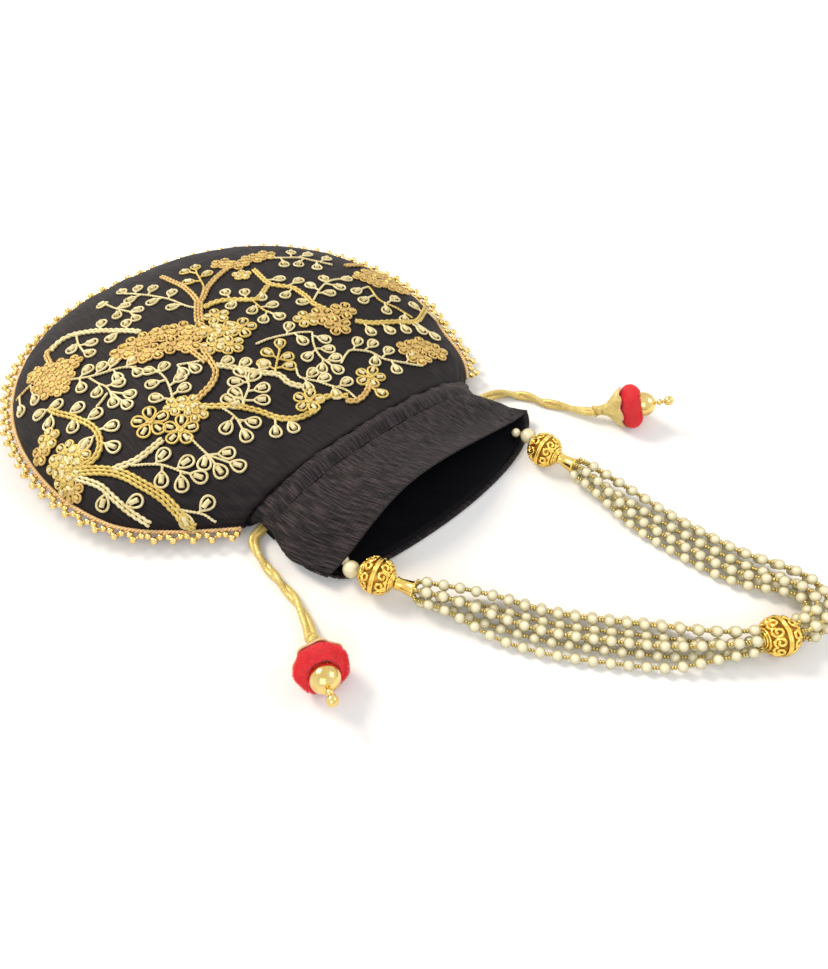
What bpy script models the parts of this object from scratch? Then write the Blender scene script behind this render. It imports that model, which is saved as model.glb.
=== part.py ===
"""A potli bag lying on its back panel.

Padded front and back panels with a beaded edge, a gathered neck with a string casing, two
doubled drawstrings that end in tassels, and a handle of pearl strands between pierced balls.
The mouth faces -Y, +Z is up, and the origin is on the table under the widest line of the bag.
"""

import math

import bmesh
import bpy
from mathutils import Matrix, Vector

# Clearances
GAP = 0.0003

# Bag body: outline and height
BODY_HALF_WIDTH = 0.109
BODY_ABOVE = 0.112
BODY_BELOW = 0.106
BODY_EXPONENT = 2.2
BODY_TOP_Z = 0.035
SEAM_Z = 0.0095
PANEL_WALL = 0.0018
LINING_WALL = 0.0008
PILLOW_POWER = 2.4
PILLOW_ROUND = 0.6
BACK_FLAT = 1.25
BLUNT_END = 0.0005

# Neck, where the panels are gathered
NECK_Y = -0.084
NECK_TILT = -0.0385
NECK_SHIFT = 0.0105
NECK_SHIFT_START = -0.040
NECK_SEAM_Z = 0.0061
NECK_TOP_Z = 0.0245

# String casing round the neck
CASING_WIDTH = 0.011
CASING_HALF_LENGTH = 0.063
CASING_RIDGE = 0.0018
BACK_CASING_HEIGHT = 0.0056
TUNNEL_WIDTH = 0.0096
TUNNEL_HEIGHT = 0.0032

# Collar from the casing to the mouth
MOUTH_LEFT = Vector((-0.050, -0.1265))
MOUTH_RIGHT = Vector((0.085, -0.119))
MOUTH_TOP_Z = 0.0285
MOUTH_SKEW = 0.25
LIP_ROUND_LEFT = 1.9
LIP_ROUND_RIGHT = 1.1
UPPER_LIP_BULGE = 0.0035
LOWER_LIP_BULGE = 0.0155
LOWER_LIP_SKEW = 0.25
LOWER_LIP_ROUND = 0.6
COLLAR_BACK_FLAT = 2.2
COLLAR_LEFT_BULGE = 0.004

# Lining pouch: its rings sit at shares of the collar, of the casing and at rows of the panels
LINING_LIP = 0.88
LINING_COLLAR_SHARES = (1.0, 0.5, 0.0)
LINING_CASING_SHARES = (0.5, 0.0)
LINING_BODY_ROWS = (0, 1, 2, 4, 6, 8, 10, 11, 12)
LINING_EASE_ROWS = 3.0
LINING_EASE = 0.0007
LINING_NECK_INSET = 0.0026
LINING_NECK_LIFT = 0.0040

# Beaded edge and the piping inside it
PIPING_RADIUS = 0.0008
PIPING_GAP = 0.0004
PIPING_POINTS = 50
TRIM_END = 0.0035
OUTLINE_STEPS = 240
PICOT_PITCH = 0.0084
PICOT_DEPTH = 0.0034
PICOT_BEAD_RADIUS = 0.00175
PICOT_ROOT_RADIUS = 0.0009
PICOT_GAP = 0.0004

# Handle
PIVOT_Y = -0.1316
PIVOT_Z = 0.0072
LEFT_PEARL_X = -0.0415
RIGHT_PEARL_X = 0.0710
PEARL_RADIUS = 0.0038
PEARL_BORE = 0.0006
STOPPER_RADIUS = 0.0022
BALL_RADIUS = 0.0080
BALL_WALL = 0.0009
BALL_BORE = 0.0016
WINDOW_RADIUS = 0.0017
WINDOW_STRETCH = 1.5
WINDOWS_ROUND = 5
WINDOW_LATITUDE = math.radians(34.0)
CAP_LENGTH = 0.0082
CAP_RADIUS_BALL = 0.0026
CAP_RADIUS_STRANDS = 0.0033
CAP_WALL = 0.0005
CAP_BORE = 0.0011
STRAND_RADIUS = 0.0019
STRAND_PITCH = 0.0045
LEFT_BALL_HEADING = Vector((0.37, -0.905, 0.20))
RIGHT_BALL_HEADING = Vector((-0.20, -0.975, 0.070))
LEFT_CAP_HEADING = Vector((0.39, -0.92, -0.06))
RIGHT_CAP_HEADING = Vector((0.10, -0.995, 0.0))
MIDDLE_BALL = Vector((0.0553, -0.2703, 0.0080))
MIDDLE_HEADING = Vector((0.86, -0.51, 0.0))

# Drawstrings and tassels
STRING_RADIUS = 0.0010
STRING_SPACING = 0.0028
STRING_LANE = 0.0024
STRING_Z = 0.0028
STRING_HIDDEN = 0.108
STRING_RISE = 0.0022
KNOT_RADIUS = 0.0027
CONE_LENGTH = 0.0090
CONE_SMALL_RADIUS = 0.0027
CONE_LARGE_RADIUS = 0.0067
CONE_WALL = 0.0006
POMPOM_RADIUS = 0.0105
POMPOM_THICKNESS = 0.0090
POMPOM_BORE = 0.0012
TASSEL_BALL_RADIUS = 0.0060
TASSEL_BALL_OFFSET = 0.0056
NECK_BEAD_RADIUS = 0.0015
TIP_BEAD_RADIUS = 0.0024

# Mesh fineness
BODY_COLUMNS = 18
BODY_ROWS = 12
CASING_ROWS = 4
COLLAR_ROWS = 5
LINING_COLUMNS = 10
PIVOT_SIZE = 0.01
STRAND_STEPS = {"left": 12, "right": 17}
STRAND_CROWDING = {"left": 1.0, "right": 1.4}
# Shares of a bundle's length where its strands are fully spread, start to close and are closed
STRAND_SPREAD = {"left": (0.30, 0.70, 1.0), "right": (0.30, 0.55, 0.90)}
STRAND_START_GAP = 0.0012
ROUTE_STEP = 0.02
FALL_LAG_IN = 0.06
FALL_LAG_OUT = 0.1
CORD_LIFT = 0.0001

FABRIC = ("black_fabric", (0.020, 0.014, 0.014, 1.0), 0.0, 0.75)
LINING = ("black_lining", (0.004, 0.004, 0.006, 1.0), 0.0, 0.6)
GOLD = ("gold_metal", (0.83, 0.52, 0.14, 1.0), 1.0, 0.25)
ZARI = ("gold_thread", (0.60, 0.36, 0.08, 1.0), 0.4, 0.45)
PEARL = ("cream_pearl", (0.82, 0.74, 0.52, 1.0), 0.0, 0.25)
WOOL = ("red_wool", (0.80, 0.010, 0.015, 1.0), 0.0, 0.95)


def clear_scene():
    for obj in list(bpy.data.objects):
        bpy.data.objects.remove(obj, do_unlink=True)


def new_collection(name):
    collection = bpy.data.collections.new(name)
    bpy.context.scene.collection.children.link(collection)
    return collection


def material(finish):
    name, colour, metallic, roughness = finish
    found = bpy.data.materials.get(name)
    if found:
        return found
    made = bpy.data.materials.new(name)
    made.use_nodes = True
    shader = made.node_tree.nodes["Principled BSDF"]
    shader.inputs["Base Color"].default_value = colour
    shader.inputs["Metallic"].default_value = metallic
    shader.inputs["Roughness"].default_value = roughness
    made.diffuse_color = colour
    return made


def mix(start, end, share):
    return start + (end - start) * share


def smooth(share):
    share = min(1.0, max(0.0, share))
    return share * share * (3.0 - 2.0 * share)


# Outline of the bag

def outline_half_width(y, inset=0.0):
    """Half the body's width at y, for the outline moved in by the inset."""
    half = BODY_HALF_WIDTH - inset
    if y >= 0.0:
        share = min(1.0, y / (BODY_ABOVE - inset))
        return half * (1.0 - share ** BODY_EXPONENT) ** (1.0 / BODY_EXPONENT)
    return half * math.sqrt(max(0.0, 1.0 - (y / BODY_BELOW) ** 2))


def outline_shift(y):
    """How far the body's middle has moved towards the neck's middle at y."""
    return NECK_SHIFT * smooth((NECK_SHIFT_START - y) / (NECK_SHIFT_START - NECK_Y))


def seam_height(y):
    return mix(SEAM_Z, NECK_SEAM_Z, smooth(y / NECK_Y))


def neck_line(x):
    return NECK_Y + NECK_TILT * (x - NECK_SHIFT)


def pillow(across):
    return max(0.0, 1.0 - abs(across) ** PILLOW_POWER) ** PILLOW_ROUND


def back_pillow(across, flat=BACK_FLAT):
    """Share of its full depth that the back panel has, flat over its middle."""
    return min(1.0, flat * pillow(across))


def body_rise(y, end_y, inset):
    """Height of the front panel's middle line over the seam at y."""
    full = BODY_TOP_Z - inset - SEAM_Z
    if y >= 0.0:
        return full * (1.0 - min(1.0, y / end_y) ** PILLOW_POWER) ** PILLOW_ROUND
    at_neck = NECK_TOP_Z - inset - NECK_SEAM_Z
    return mix(full, at_neck, smooth(y / NECK_Y))


def body_point(across, along, side, inset):
    """A point of the body: along is 0 at the neck and 1 at the bottom edge of the bag."""
    end_y = BODY_ABOVE - BLUNT_END - inset
    share = math.sin(0.5 * math.pi * along)
    x = NECK_SHIFT
    y = NECK_Y
    for _ in range(4):
        y = mix(neck_line(x), end_y, share)
        x = outline_shift(y) + across * outline_half_width(y, inset)
    seam = seam_height(y) + side * 0.5 * GAP
    if side > 0:
        return Vector((x, y, seam + body_rise(y, end_y, inset) * pillow(across)))
    end_share = min(1.0, BACK_FLAT * max(0.0, 1.0 - max(0.0, y / end_y) ** 4) ** PILLOW_ROUND)
    return Vector((x, y, seam - (seam - inset) * back_pillow(across) * end_share))


def casing_point(across, along, side, inset):
    """A point of the string casing: along is 0 at the body and 1 at the collar."""
    half = CASING_HALF_LENGTH - max(0.0, inset)
    x = NECK_SHIFT + across * half
    y = neck_line(x) - GAP - along * (CASING_WIDTH - GAP)
    if side > 0:
        top = NECK_TOP_Z - NECK_SEAM_Z + CASING_RIDGE * math.sin(math.pi * along) - inset
        return Vector((x, y, NECK_SEAM_Z + 0.5 * GAP + top * pillow(across)))
    return Vector((x, y, BACK_CASING_HEIGHT + GAP))


def lip_profile(across):
    leaning = across + MOUTH_SKEW * (1.0 - across * across)
    power = LIP_ROUND_LEFT if leaning < 0.0 else LIP_ROUND_RIGHT
    return max(0.0, 1.0 - leaning * leaning) ** power


def collar_point(across, along, side, inset):
    """A point of the collar: along is 0 at the casing and 1 at the lip."""
    start_left = Vector((NECK_SHIFT - CASING_HALF_LENGTH, 0.0))
    start_right = Vector((NECK_SHIFT + CASING_HALF_LENGTH, 0.0))
    for corner in (start_left, start_right):
        corner.y = neck_line(corner.x) - CASING_WIDTH - GAP
    left = start_left.lerp(MOUTH_LEFT, along)
    right = start_right.lerp(MOUTH_RIGHT, along)
    left.x -= COLLAR_LEFT_BULGE * math.sin(math.pi * along)
    left.x += inset
    right.x -= inset
    point = left.lerp(right, 0.5 + 0.5 * across)
    rim = max(0.0, 1.0 - across * across)
    seam = NECK_SEAM_Z + side * 0.5 * GAP
    if side > 0:
        point.y -= UPPER_LIP_BULGE * rim * along * along
        top = mix(NECK_TOP_Z, MOUTH_TOP_Z, smooth(along)) - NECK_SEAM_Z - inset
        shape = mix(pillow(across), lip_profile(across), smooth(along))
        return Vector((point.x, point.y, seam + top * shape))
    bulge = LOWER_LIP_BULGE * rim ** LOWER_LIP_ROUND * (1.0 + LOWER_LIP_SKEW * across)
    point.y -= bulge * along * along
    return Vector((point.x, point.y, seam - (seam - inset) * back_pillow(across, COLLAR_BACK_FLAT)))


# Shells

def spaced(count):
    """Positions from -1 to 1 that lie closer together towards both ends."""
    return [math.sin(math.pi * (index / count - 0.5)) for index in range(count + 1)]


def sheet_rows(surface, side, inset, columns, rows):
    return [[surface(across, row / rows, side, inset) for across in spaced(columns)]
            for row in range(rows + 1)]


def add_patch(mesh, rows, flip):
    """Adds a grid of quads over rows of points, and returns its vertices."""
    verts = [[mesh.verts.new(point) for point in row] for row in rows]
    for low, high in zip(verts, verts[1:]):
        for index in range(len(low) - 1):
            corners = [low[index], low[index + 1], high[index + 1], high[index]]
            mesh.faces.new(reversed(corners) if flip else corners)
    return verts


def edge_loop(verts):
    """The vertices round the edge of a patch, in order."""
    right = [row[-1] for row in verts[1:-1]]
    left = [row[0] for row in verts[1:-1]]
    return verts[0] + right + verts[-1][::-1] + left[::-1]


def finish_mesh(name, mesh, finish, collection, smooth_faces=True):
    bmesh.ops.recalc_face_normals(mesh, faces=mesh.faces)
    data = bpy.data.meshes.new(name)
    mesh.to_mesh(data)
    mesh.free()
    data.materials.append(material(finish))
    obj = bpy.data.objects.new(name, data)
    collection.objects.link(obj)
    if smooth_faces:
        data.shade_smooth()
        data.set_sharp_from_angle(angle=math.radians(40.0))
    return obj


def add_shell(name, outer_rows, inner_rows, finish, collection):
    """A closed sheet of cloth between an outer and an inner surface of equal grids."""
    mesh = bmesh.new()
    outer = add_patch(mesh, outer_rows, False)
    inner = add_patch(mesh, inner_rows, True)
    rim_outer = edge_loop(outer)
    rim_inner = edge_loop(inner)
    count = len(rim_outer)
    for index in range(count):
        after = (index + 1) % count
        mesh.faces.new([rim_outer[index], rim_inner[index], rim_inner[after], rim_outer[after]])
    return finish_mesh(name, mesh, finish, collection)


def add_panels(collection):
    """The padded front and back panels of the body."""
    for name, side in (("body_front", 1), ("body_back", -1)):
        outer = sheet_rows(body_point, side, 0.0, BODY_COLUMNS, BODY_ROWS)
        inner = sheet_rows(body_point, side, PANEL_WALL, BODY_COLUMNS, BODY_ROWS)
        add_shell(name, outer, inner, FABRIC, collection)


def add_collars(collection):
    """The front and back of the open collar, with the upper and the lower lip."""
    for name, side in (("collar_front", 1), ("collar_back", -1)):
        outer = sheet_rows(collar_point, side, 0.0, BODY_COLUMNS, COLLAR_ROWS)
        inner = sheet_rows(collar_point, side, PANEL_WALL, BODY_COLUMNS, COLLAR_ROWS)
        add_shell(name, outer, inner, FABRIC, collection)


def add_front_casing(collection):
    outer = sheet_rows(casing_point, 1, 0.0, BODY_COLUMNS, CASING_ROWS)
    inner = sheet_rows(casing_point, 1, PANEL_WALL, BODY_COLUMNS, CASING_ROWS)
    add_shell("casing_front", outer, inner, FABRIC, collection)


def casing_frame():
    """Middle of the casing and the direction along it, from left to right."""
    middle = Vector((NECK_SHIFT, NECK_Y - 0.5 * (CASING_WIDTH + GAP), 0.0))
    along = Vector((1.0, NECK_TILT, 0.0)).normalized()
    return middle, along


def box(name, length, width, height, collection, finish=FABRIC):
    mesh = bmesh.new()
    bmesh.ops.create_cube(mesh, size=1.0)
    bmesh.ops.scale(mesh, vec=(length, width, height), verts=mesh.verts)
    return finish_mesh(name, mesh, finish, collection, False)


def add_back_casing(collection, cutters):
    """The casing under the neck: a flat sleeve with a straight tunnel for the strings."""
    middle, along = casing_frame()
    turn = Matrix.Rotation(math.atan2(along.y, along.x), 4, "Z")
    sleeve = box("casing_back", 2.0 * CASING_HALF_LENGTH, CASING_WIDTH - 2.0 * GAP,
                 BACK_CASING_HEIGHT, collection)
    place = Matrix.Translation(middle + Vector((0.0, 0.0, 0.5 * BACK_CASING_HEIGHT))) @ turn
    sleeve.matrix_world = place
    edges = sleeve.modifiers.new("soft_edges", "BEVEL")
    edges.width = 0.0008
    edges.segments = 2
    tunnel = box("tunnel_cutter", 2.4 * CASING_HALF_LENGTH, TUNNEL_WIDTH, TUNNEL_HEIGHT, cutters)
    tunnel.matrix_world = Matrix.Translation(middle + Vector((0.0, 0.0, STRING_Z))) @ turn
    tunnel.hide_render = True
    tunnel.display_type = "WIRE"
    cut = sleeve.modifiers.new("tunnel", "BOOLEAN")
    cut.operation = "DIFFERENCE"
    cut.object = tunnel


def lining_ring(part, share, inset):
    """One closed ring of the lining, at a share of the collar, the casing or the body."""
    ease = 1.0
    if part == "collar":
        ease = smooth(1.0 - share)
        share *= LINING_LIP
    if part == "body":
        ease = smooth(1.0 - share * BODY_ROWS / LINING_EASE_ROWS)
    surface = {"collar": collar_point, "casing": casing_point, "body": body_point}[part]
    narrowed = inset + LINING_NECK_INSET * ease
    lowest = inset + LINING_NECK_LIFT * ease
    front = []
    back = []
    for across in spaced(LINING_COLUMNS):
        front.append(surface(across, share, 1, narrowed))
        under = surface(across, share, -1, narrowed)
        under.z = max(under.z, lowest)
        back.append(under)
    for end in (0, -1):
        front[end].z = 0.5 * (front[end].z + back[end].z)
    return front + back[-2:0:-1]


def add_lining(collection):
    """The lining pouch: one thin sewn bag, open at the lip."""
    start = PANEL_WALL + LINING_EASE
    stations = [("collar", share) for share in LINING_COLLAR_SHARES]
    stations += [("casing", share) for share in LINING_CASING_SHARES]
    stations += [("body", row / BODY_ROWS) for row in LINING_BODY_ROWS]
    mesh = bmesh.new()
    loops = []
    for inset in (start, start + LINING_WALL):
        rings = [[mesh.verts.new(point) for point in lining_ring(part, share, inset)]
                 for part, share in stations]
        for low, high in zip(rings, rings[1:]):
            for index in range(len(low)):
                after = (index + 1) % len(low)
                mesh.faces.new([low[index], low[after], high[after], high[index]])
        close_bottom(mesh, rings[-1])
        loops.append(rings[0])
    for index in range(len(loops[0])):
        after = (index + 1) % len(loops[0])
        mesh.faces.new([loops[0][index], loops[0][after], loops[1][after], loops[1][index]])
    finish_mesh("lining_pouch", mesh, LINING, collection)


def close_bottom(mesh, ring):
    """Closes the last ring of the lining with a strip from its front to its back."""
    half = len(ring) // 2
    for index in range(half):
        upper = ring[index]
        upper_next = ring[index + 1]
        lower = ring[-index] if index else ring[0]
        lower_next = ring[-index - 1]
        corners = [upper, upper_next, lower_next, lower]
        distinct = list(dict.fromkeys(corners))
        mesh.faces.new(distinct)


# Curves

def catmull(points, share):
    """A point on the smooth curve through the points, at a share of its length in spans."""
    spans = len(points) - 1
    position = min(max(share, 0.0), 1.0) * spans
    index = min(int(position), spans - 1)
    t = position - index
    before = points[max(index - 1, 0)]
    start = points[index]
    end = points[index + 1]
    after = points[min(index + 2, spans)]
    if index == 0:
        before = start * 2.0 - end
    if index == spans - 1:
        after = end * 2.0 - start
    return 0.5 * ((2.0 * start) + (end - before) * t
                  + (2.0 * before - 5.0 * start + 4.0 * end - after) * t * t
                  + (3.0 * start - before - 3.0 * end + after) * t * t * t)


def smooth_route(points, spacing):
    """Evenly spaced points along the smooth curve through the given ones."""
    fine = [catmull(points, step / 400.0) for step in range(401)]
    lengths = [0.0]
    for first, second in zip(fine, fine[1:]):
        lengths.append(lengths[-1] + (second - first).length)
    count = max(2, round(lengths[-1] / spacing))
    route = []
    cursor = 0
    for step in range(count + 1):
        wanted = lengths[-1] * step / count
        while cursor < len(lengths) - 2 and lengths[cursor + 1] < wanted:
            cursor += 1
        span = lengths[cursor + 1] - lengths[cursor]
        share = (wanted - lengths[cursor]) / span if span else 0.0
        route.append(fine[cursor].lerp(fine[cursor + 1], min(1.0, share)))
    return route


def add_tube(name, route, radius, finish, collection, resolution=2, radii=None, ring=False):
    """A round cord along a route, as a curve with filled ends."""
    curve = bpy.data.curves.new(name, "CURVE")
    curve.dimensions = "3D"
    curve.bevel_depth = radius
    curve.bevel_resolution = resolution
    curve.use_fill_caps = True
    spline = curve.splines.new("POLY")
    spline.points.add(len(route) - 1)
    for index, point in enumerate(route):
        spline.points[index].co = (point.x, point.y, point.z, 1.0)
        if radii:
            spline.points[index].radius = radii[index] / radius
    spline.use_cyclic_u = ring
    curve.materials.append(material(finish))
    obj = bpy.data.objects.new(name, curve)
    collection.objects.link(obj)
    return obj


# Turned pieces

def turned(name, profile, steps, finish, collection):
    """A piece turned about Z from a profile of (radius, height) points, outer side first."""
    mesh = bmesh.new()
    verts = [mesh.verts.new((radius, 0.0, height)) for radius, height in profile]
    for first, second in zip(verts, verts[1:]):
        mesh.edges.new((first, second))
    mesh.edges.new((verts[-1], verts[0]))
    data = bpy.data.meshes.new(name)
    mesh.to_mesh(data)
    mesh.free()
    data.materials.append(material(finish))
    obj = bpy.data.objects.new(name, data)
    collection.objects.link(obj)
    screw = obj.modifiers.new("turn", "SCREW")
    screw.steps = steps
    screw.render_steps = steps
    screw.use_merge_vertices = True
    screw.merge_threshold = 0.00001
    screw.use_smooth_shade = True
    return obj


def arc(radius, start, end, steps, centre=0.0):
    """Points on a circle about the axis point at centre, by latitude in radians."""
    points = []
    for step in range(steps + 1):
        angle = mix(start, end, step / steps)
        points.append((radius * math.cos(angle), centre + radius * math.sin(angle)))
    return points


def bead_profile(radius, bore, steps=8):
    """A solid bead with a bore along its axis."""
    edge = math.acos(bore / radius)
    return arc(radius, edge, -edge, steps)


def hollow_ball_profile(radius, wall, bore):
    outer_edge = math.acos(bore / radius)
    inner_edge = math.acos(bore / (radius - wall))
    outer = arc(radius, outer_edge, -outer_edge, 8)
    inner = arc(radius - wall, -inner_edge, inner_edge, 5)
    return outer + inner


def aim(obj, place, heading):
    """Puts a turned piece at a place with its axis along the heading."""
    turn = Vector((0.0, 0.0, 1.0)).rotation_difference(heading.normalized())
    obj.matrix_world = Matrix.Translation(place) @ turn.to_matrix().to_4x4()


def add_bead(name, radius, bore, place, heading, finish, collection, steps=12, arcs=7):
    bead = turned(name, bead_profile(radius, bore, arcs), steps, finish, collection)
    aim(bead, place, heading)
    return bead


def add_window_cutter(cutters):
    """Radial oval cutters that pierce a ball in two staggered rows."""
    mesh = bmesh.new()
    for row, latitude in enumerate((WINDOW_LATITUDE, -WINDOW_LATITUDE)):
        for index in range(WINDOWS_ROUND):
            turn = 2.0 * math.pi * (index + 0.5 * row) / WINDOWS_ROUND
            place = Matrix.Rotation(turn, 4, "Z") @ Matrix.Rotation(
                0.5 * math.pi - latitude, 4, "Y")
            place = place @ Matrix.Translation((0.0, 0.0, BALL_RADIUS - 0.5 * BALL_WALL))
            place = place @ Matrix.Diagonal((1.0, WINDOW_STRETCH, 1.0, 1.0))
            bmesh.ops.create_cone(mesh, cap_ends=True, segments=6, radius1=WINDOW_RADIUS,
                                  radius2=WINDOW_RADIUS, depth=4.0 * BALL_WALL, matrix=place)
    return finish_mesh("window_cutter", mesh, GOLD, cutters, False)


def add_pierced_ball(name, place, heading, collection, cutters):
    ball = turned(name, hollow_ball_profile(BALL_RADIUS, BALL_WALL, BALL_BORE), 18, GOLD,
                  collection)
    aim(ball, place, heading)
    cutter = add_window_cutter(cutters)
    cutter.matrix_world = ball.matrix_world
    cutter.hide_render = True
    cutter.display_type = "WIRE"
    cut = ball.modifiers.new("windows", "BOOLEAN")
    cut.operation = "DIFFERENCE"
    cut.object = cutter
    return ball


def add_cap(name, place, heading, collection):
    """The flared tube that gathers the strands behind a ball."""
    small = CAP_RADIUS_BALL
    large = CAP_RADIUS_STRANDS
    profile = [
        (large, CAP_LENGTH), (mix(small, large, 0.35), 0.5 * CAP_LENGTH), (small, 0.0),
        (CAP_BORE, 0.0), (CAP_BORE, CAP_WALL), (small - CAP_WALL, CAP_WALL),
        (mix(small, large, 0.35) - CAP_WALL, 0.5 * CAP_LENGTH), (large - CAP_WALL, CAP_LENGTH)]
    cap = turned(name, profile, 14, GOLD, collection)
    aim(cap, place, heading)
    return cap


# Handle

def handle_places():
    """Where the pearls, balls and caps of the handle lie."""
    reach = PEARL_RADIUS + BALL_RADIUS + GAP
    places = {}
    for side, x, ball_way, cap_way in (
            ("left", LEFT_PEARL_X, LEFT_BALL_HEADING, LEFT_CAP_HEADING),
            ("right", RIGHT_PEARL_X, RIGHT_BALL_HEADING, RIGHT_CAP_HEADING)):
        pearl = Vector((x, PIVOT_Y, PIVOT_Z))
        ball = pearl + reach * ball_way.normalized()
        heading = cap_way.normalized()
        cap = ball + (BALL_RADIUS + GAP) * heading
        places[side] = (pearl, ball, cap, heading)
    return places


HANDLE_ROUTES = {
    "left": [Vector((-0.0163, -0.1790, 0.0060)), Vector((-0.0011, -0.2068, 0.0054)),
             Vector((0.0187, -0.2330, 0.0054)), Vector((0.0370, -0.2560, 0.0070))],
    "right": [Vector((0.0726, -0.1919, 0.0058)), Vector((0.0750, -0.2205, 0.0052)),
              Vector((0.0785, -0.2430, 0.0056)), Vector((0.0836, -0.2595, 0.0068)),
              Vector((0.0826, -0.2705, 0.0078)), Vector((0.0745, -0.2770, 0.0080))],
}
# Where each strand lies in the bundle: across and up at its gathered ends, in strand pitches,
# and, where the strands lie spread on the table, its distance across and its height over the
# strands that lie on the table itself, in metres.
STRANDS = {
    "left": (
        (-1.0, 0.0, -0.0112, 0.0), (-0.5, -0.87, -0.0057, 0.0), (-0.5, 0.87, -0.00355, 0.0035),
        (0.0, 0.0, -0.0014, 0.0), (0.5, -0.87, 0.0029, 0.0), (0.5, 0.87, 0.0058, 0.0029),
        (1.0, 0.0, 0.0087, 0.0)),
    "right": (
        (-1.0, 0.0, -0.0088, 0.0), (-0.5, -0.87, -0.0030, 0.0), (-0.5, 0.87, -0.0059, 0.0028),
        (0.0, 0.0, 0.0, 0.0028), (0.5, -0.87, 0.0030, 0.0), (0.5, 0.87, 0.0059, 0.0028),
        (1.0, 0.0, 0.0088, 0.0)),
}


def bundle_line(side):
    """The middle line of one side's bundle, from its cap to the middle ball."""
    _, _, cap, heading = handle_places()[side]
    start = cap + (CAP_LENGTH + STRAND_START_GAP) * heading
    way = MIDDLE_HEADING.normalized()
    if side == "right":
        way = -way
    end = MIDDLE_BALL - (BALL_RADIUS + STRAND_START_GAP) * way
    return smooth_route([start] + HANDLE_ROUTES[side] + [end], 0.002)


def strand_route(side, gathered_across, gathered_up, spread, lift):
    """The route of one pearl strand from the cap to the middle ball."""
    line = bundle_line(side)
    spread_in, spread_out, spread_end = STRAND_SPREAD[side]
    steps = STRAND_STEPS[side]
    route = []
    for step in range(steps + 1):
        share = 1.0 - (1.0 - step / steps) ** STRAND_CROWDING[side]
        here = catmull(line, share)
        ahead = (catmull(line, min(1.0, share + ROUTE_STEP))
                 - catmull(line, max(0.0, share - ROUTE_STEP)))
        across = Vector((-ahead.y, ahead.x, 0.0)).normalized()
        if side == "right":
            across = -across
        run_out = (spread_end - share) / (spread_end - spread_out)
        loose = smooth(share / spread_in) * smooth(run_out)
        fallen = smooth((share - FALL_LAG_IN) / spread_in) * smooth(run_out - FALL_LAG_OUT)
        offset = mix(gathered_across * STRAND_PITCH, spread, loose)
        height = mix(here.z + gathered_up * STRAND_PITCH, STRAND_RADIUS + CORD_LIFT + lift,
                     fallen)
        route.append(Vector((here.x, here.y, 0.0)) + across * offset
                     + Vector((0.0, 0.0, height)))
    return route


def add_handle(collection, cutters):
    """Pearls, pierced balls, caps and the pearl strands between them."""
    for side, (pearl, ball, cap, heading) in handle_places().items():
        add_bead(f"end_pearl_{side}", PEARL_RADIUS, PEARL_BORE, pearl, ball - pearl, PEARL,
                 collection)
        add_pierced_ball(f"pierced_ball_{side}", ball, heading, collection, cutters)
        add_cap(f"bead_cap_{side}", cap, heading, collection)
        for number, place in enumerate(STRANDS[side], start=1):
            add_tube(f"pearl_strand_{side}_{number}", strand_route(side, *place),
                     STRAND_RADIUS, PEARL, collection)
    add_pierced_ball("pierced_ball_middle", MIDDLE_BALL, MIDDLE_HEADING, collection, cutters)


def add_stoppers(collection):
    """The small pearls inside the mouth that hold the handle's thread."""
    for side, place in (("left", Vector((LEFT_PEARL_X + 0.0015, PIVOT_Y + 0.0064, 0.0060))),
                        ("right", Vector((RIGHT_PEARL_X - 0.0015, PIVOT_Y + 0.0064, 0.0060)))):
        add_bead(f"stopper_pearl_{side}", STOPPER_RADIUS, PEARL_BORE, place,
                 Vector((0.0, -1.0, 0.2)), PEARL, collection, 10, 6)


# Drawstrings

STRING_ROUTES = {
    "left": [Vector((-0.0591, -0.0870)), Vector((-0.0618, -0.0915)), Vector((-0.0635, -0.1000)),
             Vector((-0.0645, -0.1100)), Vector((-0.0655, -0.1230)), Vector((-0.0688, -0.1350))],
    "right": [Vector((0.0810, -0.0960)), Vector((0.0880, -0.0985)), Vector((0.0945, -0.1040)),
              Vector((0.0985, -0.1130)), Vector((0.1020, -0.1225)), Vector((0.1065, -0.1330))],
}
KNOTS = {"left": Vector((-0.0735, -0.1450, 0.0050)), "right": Vector((0.1110, -0.1425, 0.0050))}
TASSEL_HEADINGS = {"left": Vector((-0.40, -0.86, 0.32)), "right": Vector((0.62, -0.78, 0.32))}
STRING_LANES = {"left": 1.0, "right": -1.0}


def string_route(side, strand):
    """One of the two strands of a drawstring, from inside the casing to its knot."""
    middle, along = casing_frame()
    outward = -along if side == "left" else along
    sideways = Vector((-along.y, along.x, 0.0))
    lane = STRING_LANES[side] * STRING_LANE * (0.5 if strand == 1 else 1.5)
    exit_point = middle + outward * CASING_HALF_LENGTH + sideways * lane
    inner = exit_point - outward * STRING_HIDDEN
    points = [Vector((inner.x, inner.y, STRING_Z)), Vector((exit_point.x, exit_point.y, STRING_Z))]
    knot = KNOTS[side]
    heading = TASSEL_HEADINGS[side].normalized()
    centre = [Vector((point.x, point.y, STRING_Z)) for point in STRING_ROUTES[side]]
    hand = 1.0 if strand == 1 else -1.0
    for index, point in enumerate(centre):
        ahead = centre[min(index + 1, len(centre) - 1)] - centre[max(index - 1, 0)]
        across = Vector((-ahead.y, ahead.x, 0.0)).normalized()
        place = point + across * hand * 0.5 * STRING_SPACING
        place.z = mix(STRING_Z, STRING_RADIUS + CORD_LIFT, smooth((index + 1) / 3.0))
        if index == len(centre) - 1:
            place.z = STRING_RISE
        points.append(place)
    across = Vector((-heading.y, heading.x, 0.0)).normalized()
    end = knot - heading * (KNOT_RADIUS + STRING_RADIUS * 0.5)
    points.append(end + across * hand * 0.5 * STRING_SPACING)
    return points


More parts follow.
